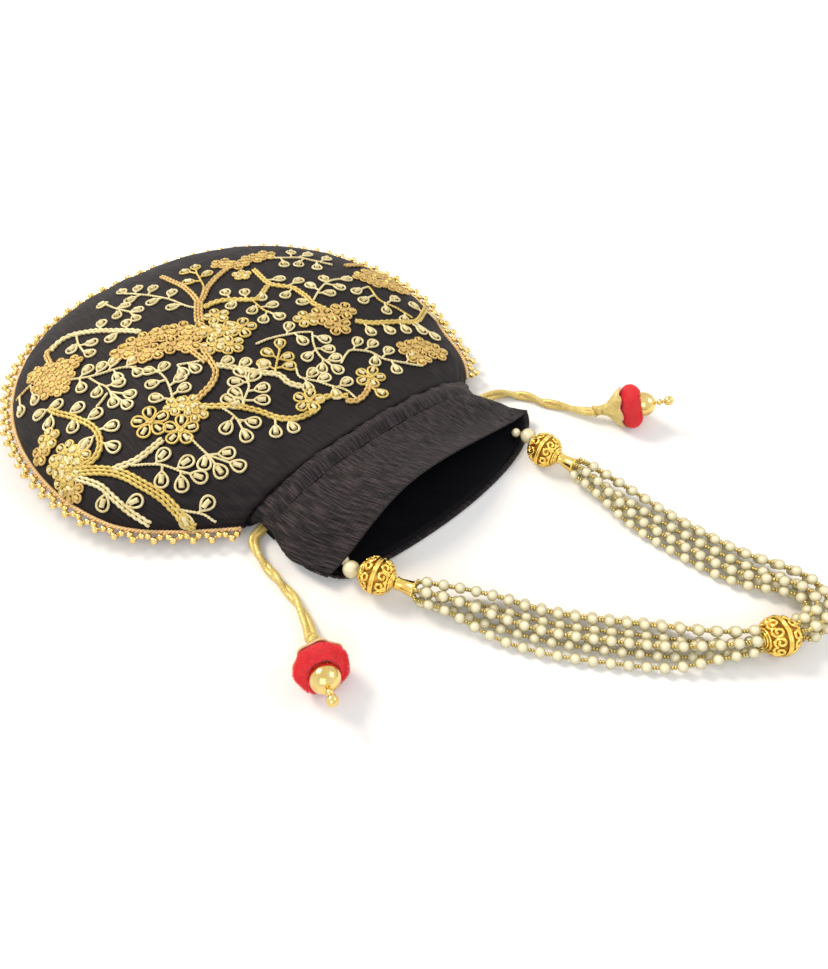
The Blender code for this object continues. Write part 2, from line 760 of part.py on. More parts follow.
def add_tassel(side, collection):
    """Knot, flared cone, wool pompom, gold ball and the two end beads, along one axis."""
    heading = TASSEL_HEADINGS[side].normalized()
    start = KNOTS[side]
    add_bead(f"string_knot_{side}", KNOT_RADIUS, 0.0005, start, heading, ZARI, collection, 10, 6)
    cone_start = start + heading * (KNOT_RADIUS + GAP)
    small = CONE_SMALL_RADIUS
    large = CONE_LARGE_RADIUS
    middle = mix(small, large, 0.35)
    profile = [(large, CONE_LENGTH), (middle, 0.55 * CONE_LENGTH), (small, 0.0), (0.0008, 0.0),
               (0.0008, CONE_WALL), (small - CONE_WALL, CONE_WALL),
               (middle - CONE_WALL, 0.55 * CONE_LENGTH), (large - CONE_WALL, CONE_LENGTH)]
    aim(turned(f"tassel_cone_{side}", profile, 14, ZARI, collection), cone_start, heading)
    pompom_centre = cone_start + heading * (CONE_LENGTH + GAP + 0.5 * POMPOM_THICKNESS)
    aim(turned(f"pompom_{side}", pompom_profile(), 14, WOOL, collection), pompom_centre, heading)
    ball = pompom_centre + heading * TASSEL_BALL_OFFSET
    add_bead(f"tassel_ball_{side}", TASSEL_BALL_RADIUS, 0.0006, ball, heading, GOLD, collection,
             14, 8)
    neck = ball + heading * (TASSEL_BALL_RADIUS + NECK_BEAD_RADIUS + GAP)
    add_bead(f"neck_bead_{side}", NECK_BEAD_RADIUS, 0.0005, neck, heading, GOLD, collection, 8, 5)
    tip = neck + heading * (NECK_BEAD_RADIUS + TIP_BEAD_RADIUS + GAP)
    add_bead(f"tip_bead_{side}", TIP_BEAD_RADIUS, 0.0005, tip, heading, GOLD, collection, 10, 6)


def pompom_profile():
    """A thick wool disc with rounded edges and a dish that seats the gold ball."""
    half = 0.5 * POMPOM_THICKNESS
    seat = TASSEL_BALL_RADIUS + GAP
    rim_angle = math.asin((half - TASSEL_BALL_OFFSET) / seat)
    bore_angle = -math.acos(POMPOM_BORE / seat)
    dish = arc(seat, bore_angle, rim_angle, 3, TASSEL_BALL_OFFSET)
    edge = []
    for step in range(6):
        angle = mix(0.5 * math.pi, -0.5 * math.pi, step / 5)
        edge.append((POMPOM_RADIUS - half + half * math.cos(angle), half * math.sin(angle)))
    edge[0] = (max(edge[0][0], dish[-1][0] + 0.0006), half)
    return edge + [(POMPOM_BORE, -half)] + dish


def add_drawstrings(collection):
    for side in ("left", "right"):
        for strand in (1, 2):
            points = string_route(side, strand)
            route = [points[0]] + smooth_route(points[1:], 0.0036)
            add_tube(f"drawstring_{side}_{strand}", route, STRING_RADIUS, ZARI, collection)
        add_tassel(side, collection)


# Beaded edge

def half_outline(hand):
    """Points of the body's seam on one side, from the neck to the middle of the bottom."""
    points = []
    for step in range(OUTLINE_STEPS + 1):
        share = math.sin(0.5 * math.pi * step / OUTLINE_STEPS)
        y = mix(NECK_Y + TRIM_END, BODY_ABOVE, share)
        points.append(Vector((outline_shift(y) + hand * outline_half_width(y), y)))
    return points


def edge_route(count, offset):
    """Points along the body seam, moved out by the offset, from the left to the right neck."""
    outline = half_outline(-1.0) + half_outline(1.0)[-2::-1]
    lengths = [0.0]
    for first, second in zip(outline, outline[1:]):
        lengths.append(lengths[-1] + (second - first).length)
    points = []
    cursor = 0
    for step in range(count):
        wanted = lengths[-1] * step / (count - 1)
        while cursor < len(lengths) - 2 and lengths[cursor + 1] < wanted:
            cursor += 1
        first = outline[cursor]
        second = outline[cursor + 1]
        span = lengths[cursor + 1] - lengths[cursor]
        share = (wanted - lengths[cursor]) / span if span else 0.0
        spot = first.lerp(second, min(1.0, share))
        way = outline[min(cursor + 4, len(outline) - 1)] - outline[max(cursor - 3, 0)]
        outward = Vector((-way.y, way.x)).normalized()
        out = offset(step) if callable(offset) else offset
        spot = spot + outward * out
        points.append(Vector((spot.x, spot.y, seam_height(min(spot.y, 0.0)))))
    return points


def edge_length():
    points = edge_route(200, 0.0)
    return sum((second - first).length for first, second in zip(points, points[1:]))


def add_edge(collection):
    """The gold piping in the body seam and the zigzag of beads sewn along it."""
    piping = edge_route(PIPING_POINTS, PIPING_GAP + PIPING_RADIUS)
    add_tube("seam_piping", piping, PIPING_RADIUS, ZARI, collection, 1)
    picots = round(edge_length() / PICOT_PITCH)
    root = PIPING_GAP + 2.0 * PIPING_RADIUS + PICOT_GAP + PICOT_ROOT_RADIUS

    def zigzag(step):
        return root + (PICOT_DEPTH if step % 2 else 0.0)

    count = 2 * picots + 1
    radii = [PICOT_BEAD_RADIUS if step % 2 else PICOT_ROOT_RADIUS for step in range(count)]
    add_tube("beaded_edge", edge_route(count, zigzag), PICOT_BEAD_RADIUS, GOLD, collection, 1,
             radii)


# Moving groups

def add_pivot(name, place, prefixes, collection):
    """An empty on a joint's axis that carries the pieces that move on it."""
    pivot = bpy.data.objects.new(name, None)
    pivot.empty_display_size = PIVOT_SIZE
    collection.objects.link(pivot)
    pivot.matrix_world = Matrix.Translation(place)
    for obj in collection.objects:
        if obj is not pivot and obj.name.startswith(prefixes):
            obj.parent = pivot
            obj.matrix_parent_inverse = Matrix.Translation(-place)


def add_pivots(collection):
    """Pivots of the handle and of the two drawstrings with their tassels."""
    handle = ("end_pearl", "pierced_ball", "bead_cap", "pearl_strand")
    add_pivot("handle_pivot", Vector((0.0, PIVOT_Y, PIVOT_Z)), handle, collection)
    middle, along = casing_frame()
    for side, outward in (("left", -along), ("right", along)):
        start = middle + outward * CASING_HALF_LENGTH + Vector((0.0, 0.0, STRING_Z))
        carried = tuple(f"{piece}_{side}" for piece in (
            "drawstring", "string_knot", "tassel_cone", "pompom", "tassel_ball", "neck_bead",
            "tip_bead"))
        add_pivot(f"drawstring_{side}_slide", start, carried, collection)


def main():
    clear_scene()
    parts = new_collection("potli_bag")
    cutters = new_collection("cutters")
    add_panels(parts)
    add_front_casing(parts)
    add_back_casing(parts, cutters)
    add_collars(parts)
    add_lining(parts)
    add_edge(parts)
    add_stoppers(parts)
    add_handle(parts, cutters)
    add_drawstrings(parts)
    bpy.context.view_layer.update()
    add_pivots(parts)
    bpy.context.view_layer.update()


main()
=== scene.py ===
"""The looks of a potli bag: embroidered cloth, beaded edge, pearl handle and tassels.

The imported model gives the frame. Every piece here is built in metres in that frame and rides
on one of its bodies.
"""

import logging
import math
from dataclasses import dataclass, field
from enum import Enum
from typing import Callable, Iterable, Sequence

import bmesh
import bpy
from mathutils import Matrix, Vector, noise
from mathutils.bvhtree import BVHTree


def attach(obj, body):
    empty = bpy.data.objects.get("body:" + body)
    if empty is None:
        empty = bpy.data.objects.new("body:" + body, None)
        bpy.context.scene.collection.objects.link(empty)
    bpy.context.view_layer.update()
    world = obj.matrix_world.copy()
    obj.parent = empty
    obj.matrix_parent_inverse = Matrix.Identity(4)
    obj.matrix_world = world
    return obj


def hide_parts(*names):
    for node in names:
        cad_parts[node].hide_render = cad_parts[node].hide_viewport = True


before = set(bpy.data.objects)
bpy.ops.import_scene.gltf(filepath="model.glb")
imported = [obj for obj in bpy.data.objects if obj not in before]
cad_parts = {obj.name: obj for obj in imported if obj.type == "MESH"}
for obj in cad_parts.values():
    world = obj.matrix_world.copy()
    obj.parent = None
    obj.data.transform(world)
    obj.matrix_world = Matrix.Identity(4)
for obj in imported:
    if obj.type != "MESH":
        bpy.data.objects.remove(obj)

LOG = logging.getLogger("potli_bag")

# The photograph's frame in pixels
PHOTO_WIDTH = 828
PHOTO_HEIGHT = 969

UP = Vector((0.0, 0.0, 1.0))
FULL_TURN = 2.0 * math.pi

Route = list[Vector]
Pixel = tuple[float, float]
Mesh = bmesh.types.BMesh
Object = bpy.types.Object
Material = bpy.types.Material
Tree = bpy.types.NodeTree
Node = bpy.types.Node
Socket = bpy.types.NodeSocket


class Slot(Enum):
    """The record's material slots."""

    FABRIC = "black_fabric"
    LINING = "black_lining"
    THREAD = "gold_thread"
    BEAD = "gold_bead"
    METAL = "gold_metal"
    PEARL = "cream_pearl"
    WOOL = "red_wool"


class Side(Enum):
    """The two sides of the bag, seen with the mouth towards the viewer."""

    LEFT = "left"
    RIGHT = "right"


# Small mathematics

def mix(start: float, end: float, share: float) -> float:
    """A value at a share of the way from start to end."""
    return start + (end - start) * share


def smooth(share: float) -> float:
    """Eases a share from 0 to 1 with flat ends."""
    share = min(1.0, max(0.0, share))
    return share * share * (3.0 - 2.0 * share)


def ripple(x: float, y: float, seed: float) -> float:
    """Smooth noise from -1 to 1 at a place on a surface."""
    return noise.noise(Vector((x, y, seed)))


def catmull(points: Route, share: float) -> Vector:
    """A point on the smooth curve through the points.

    Args:
        points: the points that the curve goes through.
        share: how far along, counted in equal spans from 0 to 1.

    Returns:
        The point on the curve.
    """
    spans = len(points) - 1
    position = min(max(share, 0.0), 1.0) * spans
    index = min(int(position), spans - 1)
    t = position - index
    before = points[max(index - 1, 0)]
    start = points[index]
    end = points[index + 1]
    after = points[min(index + 2, spans)]
    if index == 0:
        before = start * 2.0 - end
    if index == spans - 1:
        after = end * 2.0 - start
    return 0.5 * ((2.0 * start) + (end - before) * t
                  + (2.0 * before - 5.0 * start + 4.0 * end - after) * t * t
                  + (3.0 * start - before - 3.0 * end + after) * t * t * t)


def distances(points: Route) -> list[float]:
    """How far along a polyline each of its points lies, in metres."""
    lengths = [0.0]
    for first, second in zip(points, points[1:]):
        lengths.append(lengths[-1] + (second - first).length)
    return lengths


def resample(points: Route, spacing: float) -> Route:
    """Evenly spaced points along a polyline.

    Args:
        points: the polyline.
        spacing: the wanted distance between two points, in metres.

    Returns:
        The new points, with both ends kept.
    """
    lengths = distances(points)
    count = max(1, round(lengths[-1] / spacing))
    route = []
    cursor = 0
    for step in range(count + 1):
        wanted = lengths[-1] * step / count
        while cursor < len(lengths) - 2 and lengths[cursor + 1] < wanted:
            cursor += 1
        span = lengths[cursor + 1] - lengths[cursor]
        share = (wanted - lengths[cursor]) / span if span else 0.0
        route.append(points[cursor].lerp(points[cursor + 1], min(1.0, share)))
    return route


def smooth_route(points: Route, spacing: float, fineness: int = 400) -> Route:
    """Evenly spaced points along the smooth curve through the given ones."""
    fine = [catmull(points, step / fineness) for step in range(fineness + 1)]
    return resample(fine, spacing)


def route_length(points: Route) -> float:
    """The length of a polyline in metres."""
    return distances(points)[-1]


def heading_at(points: Route, index: int) -> Vector:
    """The direction along a polyline at one of its points."""
    ahead = points[min(index + 1, len(points) - 1)] - points[max(index - 1, 0)]
    return ahead.normalized() if ahead.length else Vector((1.0, 0.0, 0.0))


def facing(place: Vector, heading: Vector) -> Matrix:
    """The transform that puts a piece built on Z at a place with its axis along the heading."""
    turn = UP.rotation_difference(heading.normalized())
    return Matrix.Translation(place) @ turn.to_matrix().to_4x4()


# Shader nodes

def linear(colour: str) -> tuple[float, float, float, float]:
    """Turns an sRGB hex colour such as #f0e0c0 into linear RGBA."""
    values = [int(colour[place:place + 2], 16) / 255.0 for place in (1, 3, 5)]
    red, green, blue = (value / 12.92 if value <= 0.04045 else ((value + 0.055) / 1.055) ** 2.4
                        for value in values)
    return red, green, blue, 1.0


def add_node(tree: Tree, kind: str, settings: dict | None = None,
             values: dict | None = None, links: dict | None = None,
             stops: Sequence[tuple[float, tuple]] = ()) -> Node:
    """Adds a node with its settings and links.

    Args:
        tree: the material's or the world's node tree.
        kind: the node's type.
        settings: attributes of the node.
        values: default values by input socket.
        links: output sockets to link from, by input socket.
        stops: positions and colours of a colour ramp.

    Returns:
        The new node.
    """
    node = tree.nodes.new(kind)
    for name, value in (settings or {}).items():
        setattr(node, name, value)
    for name, value in (values or {}).items():
        node.inputs[name].default_value = value
    for name, socket in (links or {}).items():
        tree.links.new(socket, node.inputs[name])
    if stops:
        ramp = node.color_ramp
        while len(ramp.elements) < len(stops):
            ramp.elements.new(1.0)
        for element, (position, colour) in zip(ramp.elements, stops):
            element.position = position
            element.color = colour
    return node


def grey(value: float) -> tuple[float, float, float, float]:
    """A neutral colour for a ramp that drives a number."""
    return value, value, value, 1.0


# The sockets of a Mix node for colours, several of which share a name
MIX_FIRST = 6
MIX_SECOND = 7
MIX_RESULT = 2


@dataclass(frozen=True)
class Finish:
    """A material: its name, colours and shader settings."""

    name: str
    colour: str
    accent: str
    metallic: float = 0.0
    roughness: float = 0.5
    ior: float = 1.5
    coat: float = 0.0
    coat_roughness: float = 0.05
    sheen: float = 0.0
    sheen_roughness: float = 0.4

    def material(self) -> Material:
        """The material, made the first time that it is asked for."""
        found = bpy.data.materials.get(self.name)
        if found:
            return found
        made = bpy.data.materials.new(self.name)
        made.use_nodes = True
        tree = made.node_tree
        tree.nodes.clear()
        shader = add_node(tree, "ShaderNodeBsdfPrincipled", values={
            "Metallic": self.metallic, "Roughness": self.roughness, "Coat Weight": self.coat,
            "Coat Roughness": self.coat_roughness, "Sheen Weight": self.sheen,
            "Sheen Roughness": self.sheen_roughness})
        if not self.metallic:
            shader.inputs["IOR"].default_value = self.ior
        add_node(tree, "ShaderNodeOutputMaterial", links={"Surface": shader.outputs["BSDF"]})
        self.dress(tree, shader)
        made.diffuse_color = linear(self.colour)
        return made

    def dress(self, tree: Tree, shader: Node) -> None:
        """Adds the nodes of the finish to its shader."""
        raise NotImplementedError

    def noise(self, tree: Tree, scale: float, detail: float,
              source: str = "Object",
              stretch: tuple[float, float, float] = (1.0, 1.0, 1.0)) -> Socket:
        """Smooth noise from 0 to 1, laid on the piece.

        Args:
            tree: the material's node tree.
            scale: how often it changes in a metre.
            detail: how many finer layers it has.
            source: Object, or UV for a piece with its own map in metres.
            stretch: a further factor of the scale along each axis.

        Returns:
            The socket with the noise.
        """
        coordinates = add_node(tree, "ShaderNodeTexCoord")
        mapping = add_node(tree, "ShaderNodeMapping", values={"Scale": stretch},
                           links={"Vector": coordinates.outputs[source]})
        texture = add_node(tree, "ShaderNodeTexNoise",
                           values={"Scale": scale, "Detail": detail},
                           links={"Vector": mapping.outputs["Vector"]})
        return texture.outputs["Fac"]

    def weigh(self, tree: Tree, share: Socket, factor: float,
              added: Socket | float, clamped: bool = False
              ) -> Socket:
        """A share times a factor, plus another share or a number."""
        total = add_node(tree, "ShaderNodeMath",
                         settings={"operation": "MULTIPLY_ADD", "use_clamp": clamped},
                         values={1: factor}, links={0: share})
        if isinstance(added, float):
            total.inputs[2].default_value = added
        else:
            tree.links.new(added, total.inputs[2])
        return total.outputs["Value"]

    def colour_by(self, tree: Tree, shader: Node, share: Socket, first: str, second: str) -> None:
        """Gives the shader a colour between two hex colours, by a share from 0 to 1."""
        mixer = add_node(tree, "ShaderNodeMix", settings={"data_type": "RGBA"},
                         values={MIX_FIRST: linear(first), MIX_SECOND: linear(second)},
                         links={"Factor": share})
        tree.links.new(mixer.outputs[MIX_RESULT], shader.inputs["Base Color"])

    def roughen_by(self, tree: Tree, shader: Node,
                   share: Socket, first: float, second: float) -> None:
        """Gives the shader a roughness between two values, by a share from 0 to 1."""
        rough = add_node(tree, "ShaderNodeMapRange",
                         values={"To Min": first, "To Max": second}, links={"Value": share})
        tree.links.new(rough.outputs["Result"], shader.inputs["Roughness"])

    def raise_by(self, tree: Tree, shader: Node,
                 share: Socket, strength: float, height: float) -> None:
        """Raises the surface by a height in metres, by a share from 0 to 1."""
        bump = add_node(tree, "ShaderNodeBump",
                        values={"Strength": strength, "Distance": height},
                        links={"Height": share})
        tree.links.new(bump.outputs["Normal"], shader.inputs["Normal"])


@dataclass(frozen=True)
class CrinkledSilk(Finish):
    """Woven dupion silk, crinkled: uneven slub yarns make fine streaks with a dull shine."""

    # Slub yarns lie 0.9 mm apart and run 14 mm before they change; the real weave of about
    # 0.25 mm is too fine to show. The worn patches are about 26 mm wide.
    yarn: float = 0.0009
    yarn_run: float = 0.014
    wear_scale: float = 38.0
    wear_shade: float = 0.72
    relief: float = 0.00022
    cross_height: float = 0.4
    tone_and_highlight_stops: tuple[float, float] = (0.34, 0.72)
    matt: float = 0.12
    shine: float = 0.08
    source: str = "UV"

    def dress(self, tree: Tree, shader: Node) -> None:
        """Streaks of yarn along the cloth in roughness and height, and in colour, where the raised
        streaks are lighter: partly the yarn's own tone and partly painted highlight on their
        crests.
        """
        streaks = self.noise(tree, 1.0, 3.0, self.source,
                             (1.0 / self.yarn, 1.0 / self.yarn_run, 1.0))
        cross = self.noise(tree, 1.0, 2.0, self.source,
                           (0.35 / self.yarn_run, 0.8 / self.yarn, 1.0))
        worn = self.noise(tree, self.wear_scale, 4.0, self.source)
        # The raised streaks take the lighter colour: partly yarn tone, partly painted highlight
        colours = (linear(self.colour), linear(self.accent))
        tone = add_node(tree, "ShaderNodeValToRGB", links={"Fac": streaks},
                        stops=tuple(zip(self.tone_and_highlight_stops, colours)))
        shade = add_node(tree, "ShaderNodeValToRGB", links={"Fac": worn},
                         stops=((0.3, grey(self.wear_shade)), (0.7, grey(1.0))))
        body = add_node(tree, "ShaderNodeMix",
                        settings={"data_type": "RGBA", "blend_type": "MULTIPLY"},
                        values={"Factor": 1.0},
                        links={MIX_FIRST: tone.outputs["Color"],
                               MIX_SECOND: shade.outputs["Color"]})
        tree.links.new(body.outputs[MIX_RESULT], shader.inputs["Base Color"])
        self.roughen_by(tree, shader, streaks, self.roughness + self.matt,
                        self.roughness - self.shine)
        height = self.weigh(tree, cross, self.cross_height, streaks)
        self.raise_by(tree, shader, height, 1.0, self.relief)


@dataclass(frozen=True)
class LiningSatin(Finish):
    """Thin woven polyester satin: smooth, near black, with a faint cold shine."""

    # Weft ribs drawn at 0.8 mm, because the real 0.1 mm ones are too fine to show, that run
    # about 17 mm. The soft creases are about 11 mm wide.
    rib: float = 0.0008
    rib_changes: float = 60.0
    crease_scale: float = 90.0
    crease_height: float = 3.0

    def dress(self, tree: Tree, shader: Node) -> None:
        """Faint ribs and soft creases, with the colour darker in the creases' hollows and lighter
        on their crests: a painted shade.
        """
        ribs = self.noise(tree, 1.0, 2.0, "UV", (1.0 / self.rib, self.rib_changes, 1.0))
        creases = self.noise(tree, self.crease_scale, 3.0, "UV")
        # Painted shade: the colour follows the crease height, darker in the hollows
        self.colour_by(tree, shader, creases, self.colour, self.accent)
        height = self.weigh(tree, creases, self.crease_height, ribs)
        self.raise_by(tree, shader, height, 0.7, 0.0002)


@dataclass(frozen=True)
class ZariThread(Finish):
    """Metal-wrapped embroidery thread: fine glittering turns over a dyed core."""

    # Wrapped turns are drawn at 0.7 mm, because the real 0.15 mm ones are too fine to show.
    # The tone drifts over about 8 mm.
    turn: float = 0.0007
    drift_scale: float = 120.0
    drift_share: float = 0.7
    relief: float = 0.00018

    def dress(self, tree: Tree, shader: Node) -> None:
        """Uneven glints of foil in colour and height, and a slow change of tone."""
        turns = self.noise(tree, 1.0 / self.turn, 2.0)
        drift = self.noise(tree, self.drift_scale, 2.0)
        glints = self.weigh(tree, turns, 1.4, -0.55, True)
        share = self.weigh(tree, drift, self.drift_share, glints, True)
        self.colour_by(tree, shader, share, self.accent, self.colour)
        self.raise_by(tree, shader, turns, 1.0, self.relief)


@dataclass(frozen=True)
class PlatedMetal(Finish):
    """Gold-plated cast brass, tumbled bright: warm reflections with fine handling marks."""

    # Handling marks about 0.6 mm long, and clouds in the plating about 4 mm wide
    grit: float = 0.0006
    cloud_scale: float = 260.0
    smoothest: float = 0.04
    shine: float = 0.08
    matt: float = 0.1

    def dress(self, tree: Tree, shader: Node) -> None:
        """Uneven plating in colour and roughness, with a shallow hammered bump."""
        marks = self.noise(tree, 1.0 / self.grit, 3.0)
        cloud = self.noise(tree, self.cloud_scale, 2.0)
        self.colour_by(tree, shader, cloud, self.accent, self.colour)
        self.roughen_by(tree, shader, marks, max(self.smoothest, self.roughness - self.shine),
                        self.roughness + self.matt)
        self.raise_by(tree, shader, marks, 0.35, 0.0001)


@dataclass(frozen=True)
class PearlLacquer(Finish):
    """Imitation pearl: a plastic bead dipped in nacre lacquer, soft inside and glossy outside."""

    # The lacquer gathers in clouds of about 2 mm
    cloud: float = 0.002
    cloud_share: float = 0.3
    shaded_rim_blend: float = 0.42

    def dress(self, tree: Tree, shader: Node) -> None:
        """Cloudy cream that turns olive towards the edges seen side-on: a painted shade on the
        rim.
        """
        clouds = self.noise(tree, 1.0 / self.cloud, 2.0)
        # Painted shade: olive laid on the edges, by how far they turn from the camera
        rim = add_node(tree, "ShaderNodeLayerWeight", values={"Blend": self.shaded_rim_blend})
        share = self.weigh(tree, clouds, self.cloud_share, rim.outputs["Facing"], True)
        self.colour_by(tree, shader, share, self.colour, self.accent)
        self.raise_by(tree, shader, clouds, 0.12, 0.0001)


@dataclass(frozen=True)
class SpunWool(Finish):
    """Dyed wool yarn, cut and fluffed: bright fibres with a soft sheen, painted darker in the gaps
    between clumps as shade.
    """

    # Clumps of fibre about 0.8 mm wide
    clump: float = 0.0008
    relief: float = 0.0004

    def dress(self, tree: Tree, shader: Node) -> None:
        """Clumps of fibre in height, and in colour: lighter on the clumps and darker in the gaps
        between them, a painted shade.
        """
        clumps = self.noise(tree, 1.0 / self.clump, 4.0)
        # Painted shade: the low gaps between clumps take the darker red
        share = add_node(tree, "ShaderNodeValToRGB", links={"Fac": clumps},
                         stops=((0.35, grey(0.0)), (0.6, grey(1.0))))
        self.colour_by(tree, shader, share.outputs["Color"], self.accent, self.colour)
        self.raise_by(tree, shader, clumps, 1.0, self.relief)


# Each silk's second colour is that of its raised streaks: partly the yarn's own tone, partly
# painted highlight
SILK = CrinkledSilk("crinkled_dupion_silk_black", "#090608", "#221a1e", roughness=0.68,
                    ior=1.32, sheen=0.02, relief=0.0004)
COLLAR_SILK = CrinkledSilk("crinkled_dupion_silk_collar", "#040203", "#42353a", roughness=0.55,
                           ior=1.36, sheen=0.02, relief=0.0014, yarn=0.0007, yarn_run=0.008,
                           tone_and_highlight_stops=(0.45, 0.62))
SLEEVE_SILK = CrinkledSilk("crinkled_dupion_silk_sleeve", "#090608", "#221a1e", roughness=0.68,
                           ior=1.32, sheen=0.02, source="Object")
SATIN = LiningSatin("polyester_satin_lining", "#020205", "#06060c", roughness=0.7, ior=1.2)
CREAM_ZARI = ZariThread("zari_thread_pale_gold", "#f8f1c8", "#c2ab62", metallic=0.12,
                        roughness=0.36)
YELLOW_ZARI = ZariThread("zari_thread_yellow_gold", "#f0da80", "#a8852f", metallic=0.2,
                         roughness=0.36)
BRONZE_ZARI = ZariThread("zari_thread_bronze_gold", "#eccd86", "#a47c34", metallic=0.25,
                         roughness=0.36)
ORANGE_ZARI = ZariThread("zari_cord_orange_gold", "#fde6b2", "#d29c58", metallic=0.15,
                         roughness=0.4)
CORD_ZARI = ZariThread("twisted_satin_cord_lemon_gold", "#f7e690", "#a57c2c", metallic=0.2,
                       roughness=0.3, relief=0.00018)
CONE_ZARI = ZariThread("woven_gold_braid_pale", "#f0e4a0", "#b99c40", metallic=0.2, roughness=0.42)
PEACH_ZARI = ZariThread("peach_gold_braid_rim", "#f6deb4", "#c79a62", metallic=0.15, roughness=0.5)
PLATED_BEAD = PlatedMetal("plated_bead_gold", "#f7e5a4", "#cfa64c", metallic=1.0, roughness=0.13)
FILIGREE = PlatedMetal("plated_filigree_brass", "#fde484", "#dfb044", metallic=1.0, roughness=0.16)
# The core seen between the filigree wires is painted dark: painted shade of the ball's hollow
FILIGREE_SHADED_CORE = PlatedMetal("brass_core_painted_shade", "#c08c3c", "#3a1c0a", metallic=1.0,
                            roughness=0.25)
CAP_METAL = PlatedMetal("spun_brass_cap_plated", "#fbe590", "#dcb04a", metallic=1.0,
                        roughness=0.16)
SEED_BEAD = PlatedMetal("olive_gold_seed_bead", "#e2d08a", "#9a8440", metallic=0.85,
                        roughness=0.22)
# The pearls' olive second colour is the painted shade of their edges
PEARL = PearlLacquer("nacre_lacquer_cream", "#fcf5d4", "#968b50", roughness=0.22, coat=0.7,
                     coat_roughness=0.08)
WOOL = SpunWool("spun_wool_red", "#ff4450", "#ff2434", roughness=0.95, sheen=0.4,
                sheen_roughness=0.5)


# Pieces

@dataclass(frozen=True)
class Maker:
    """Turns meshes into finished pieces that ride on a body."""

    def piece(self, name: str, mesh: Mesh, finish: Finish, body: str,
              replaces: Sequence[str] = ()) -> Object:
        """Makes a bmesh a piece with smooth faces.

        Args:
            name: the piece's name.
            mesh: the bmesh, which is freed.
            finish: its material.
            body: the body that it rides on.
            replaces: CAD nodes that it stands for.

        Returns:
            The new object.
        """
        data = bpy.data.meshes.new(name)
        mesh.to_mesh(data)
        mesh.free()
        data.shade_smooth()
        data.materials.append(finish.material())
        return self.settle(bpy.data.objects.new(name, data), body, replaces)

    def settle(self, obj: Object, body: str, replaces: Sequence[str] = ()) -> Object:
        """Links a new object and body, and hides what it stands for."""
        bpy.context.scene.collection.objects.link(obj)
        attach(obj, body)
        if replaces:
            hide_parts(*replaces)
        LOG.info("%s rides on %s", obj.name, body)
        return obj

    def join(self, mesh: Mesh, other: Mesh, finish: int = 0) -> None:
        """Adds another bmesh, which is freed, with all its faces in one material place."""
        for face in other.faces:
            face.material_index = finish
        data = bpy.data.meshes.new("joined")
        other.to_mesh(data)
        other.free()
        mesh.from_mesh(data)
        bpy.data.meshes.remove(data)

    def wires(self, name: str, routes: Iterable[Route], radius: float, finish: Finish,
              resolution: int, radii: Sequence[Sequence[float]] | None = None
              ) -> Object:
        """A curve object with one round thread along each route, not yet on a body.

        Args:
            name: the object's name.
            routes: the threads' middle lines.
            radius: the threads' radius in metres.
            finish: their material.
            resolution: how round they are, from 0.
            radii: the radius at each point, for threads that change in width.

        Returns:
            The new object.
        """
        curve = bpy.data.curves.new(name, "CURVE")
        curve.dimensions = "3D"
        curve.bevel_depth = radius
        curve.bevel_resolution = resolution
        curve.use_fill_caps = True
        for number, route in enumerate(routes):
            spline = curve.splines.new("POLY")
            spline.points.add(len(route) - 1)
            for index, point in enumerate(route):
                spline.points[index].co = (point.x, point.y, point.z, 1.0)
                if radii:
                    spline.points[index].radius = radii[number][index] / radius
            spline.use_smooth = True
        curve.materials.append(finish.material())
        return bpy.data.objects.new(name, curve)

    def wire_mesh(self, routes: Iterable[Route], radius: float, finish: Finish,
                  resolution: int, radii: Sequence[Sequence[float]] | None = None
                  ) -> Mesh:
        """The same threads as one bmesh."""
        obj = self.wires("wire_source", routes, radius, finish, resolution, radii)
        bpy.context.scene.collection.objects.link(obj)
        bpy.context.view_layer.update()
        shown = obj.evaluated_get(bpy.context.evaluated_depsgraph_get())
        data = bpy.data.meshes.new_from_object(shown)
        mesh = bmesh.new()
        mesh.from_mesh(data)
        curve = obj.data
        bpy.data.objects.remove(obj, do_unlink=True)
        bpy.data.curves.remove(curve)
        bpy.data.meshes.remove(data)
        return mesh


MAKER = Maker()


def add_sphere(mesh: Mesh, place: Vector, radius: float, columns: int = 12,
               rows: int = 8, heading: Vector = UP, stretch: float = 1.0) -> None:
    """Adds a bead to a bmesh.

    Args:
        mesh: the bmesh.
        place: the bead's centre.
        radius: its radius in metres.
        columns: faces round it.
        rows: faces from pole to pole.
        heading: the direction of its poles.
        stretch: its length along the heading as a share of its width.
    """
    matrix = facing(place, heading) @ Matrix.Diagonal((1.0, 1.0, stretch, 1.0))
    bmesh.ops.create_uvsphere(mesh, u_segments=columns, v_segments=rows, radius=radius,
                              matrix=matrix)


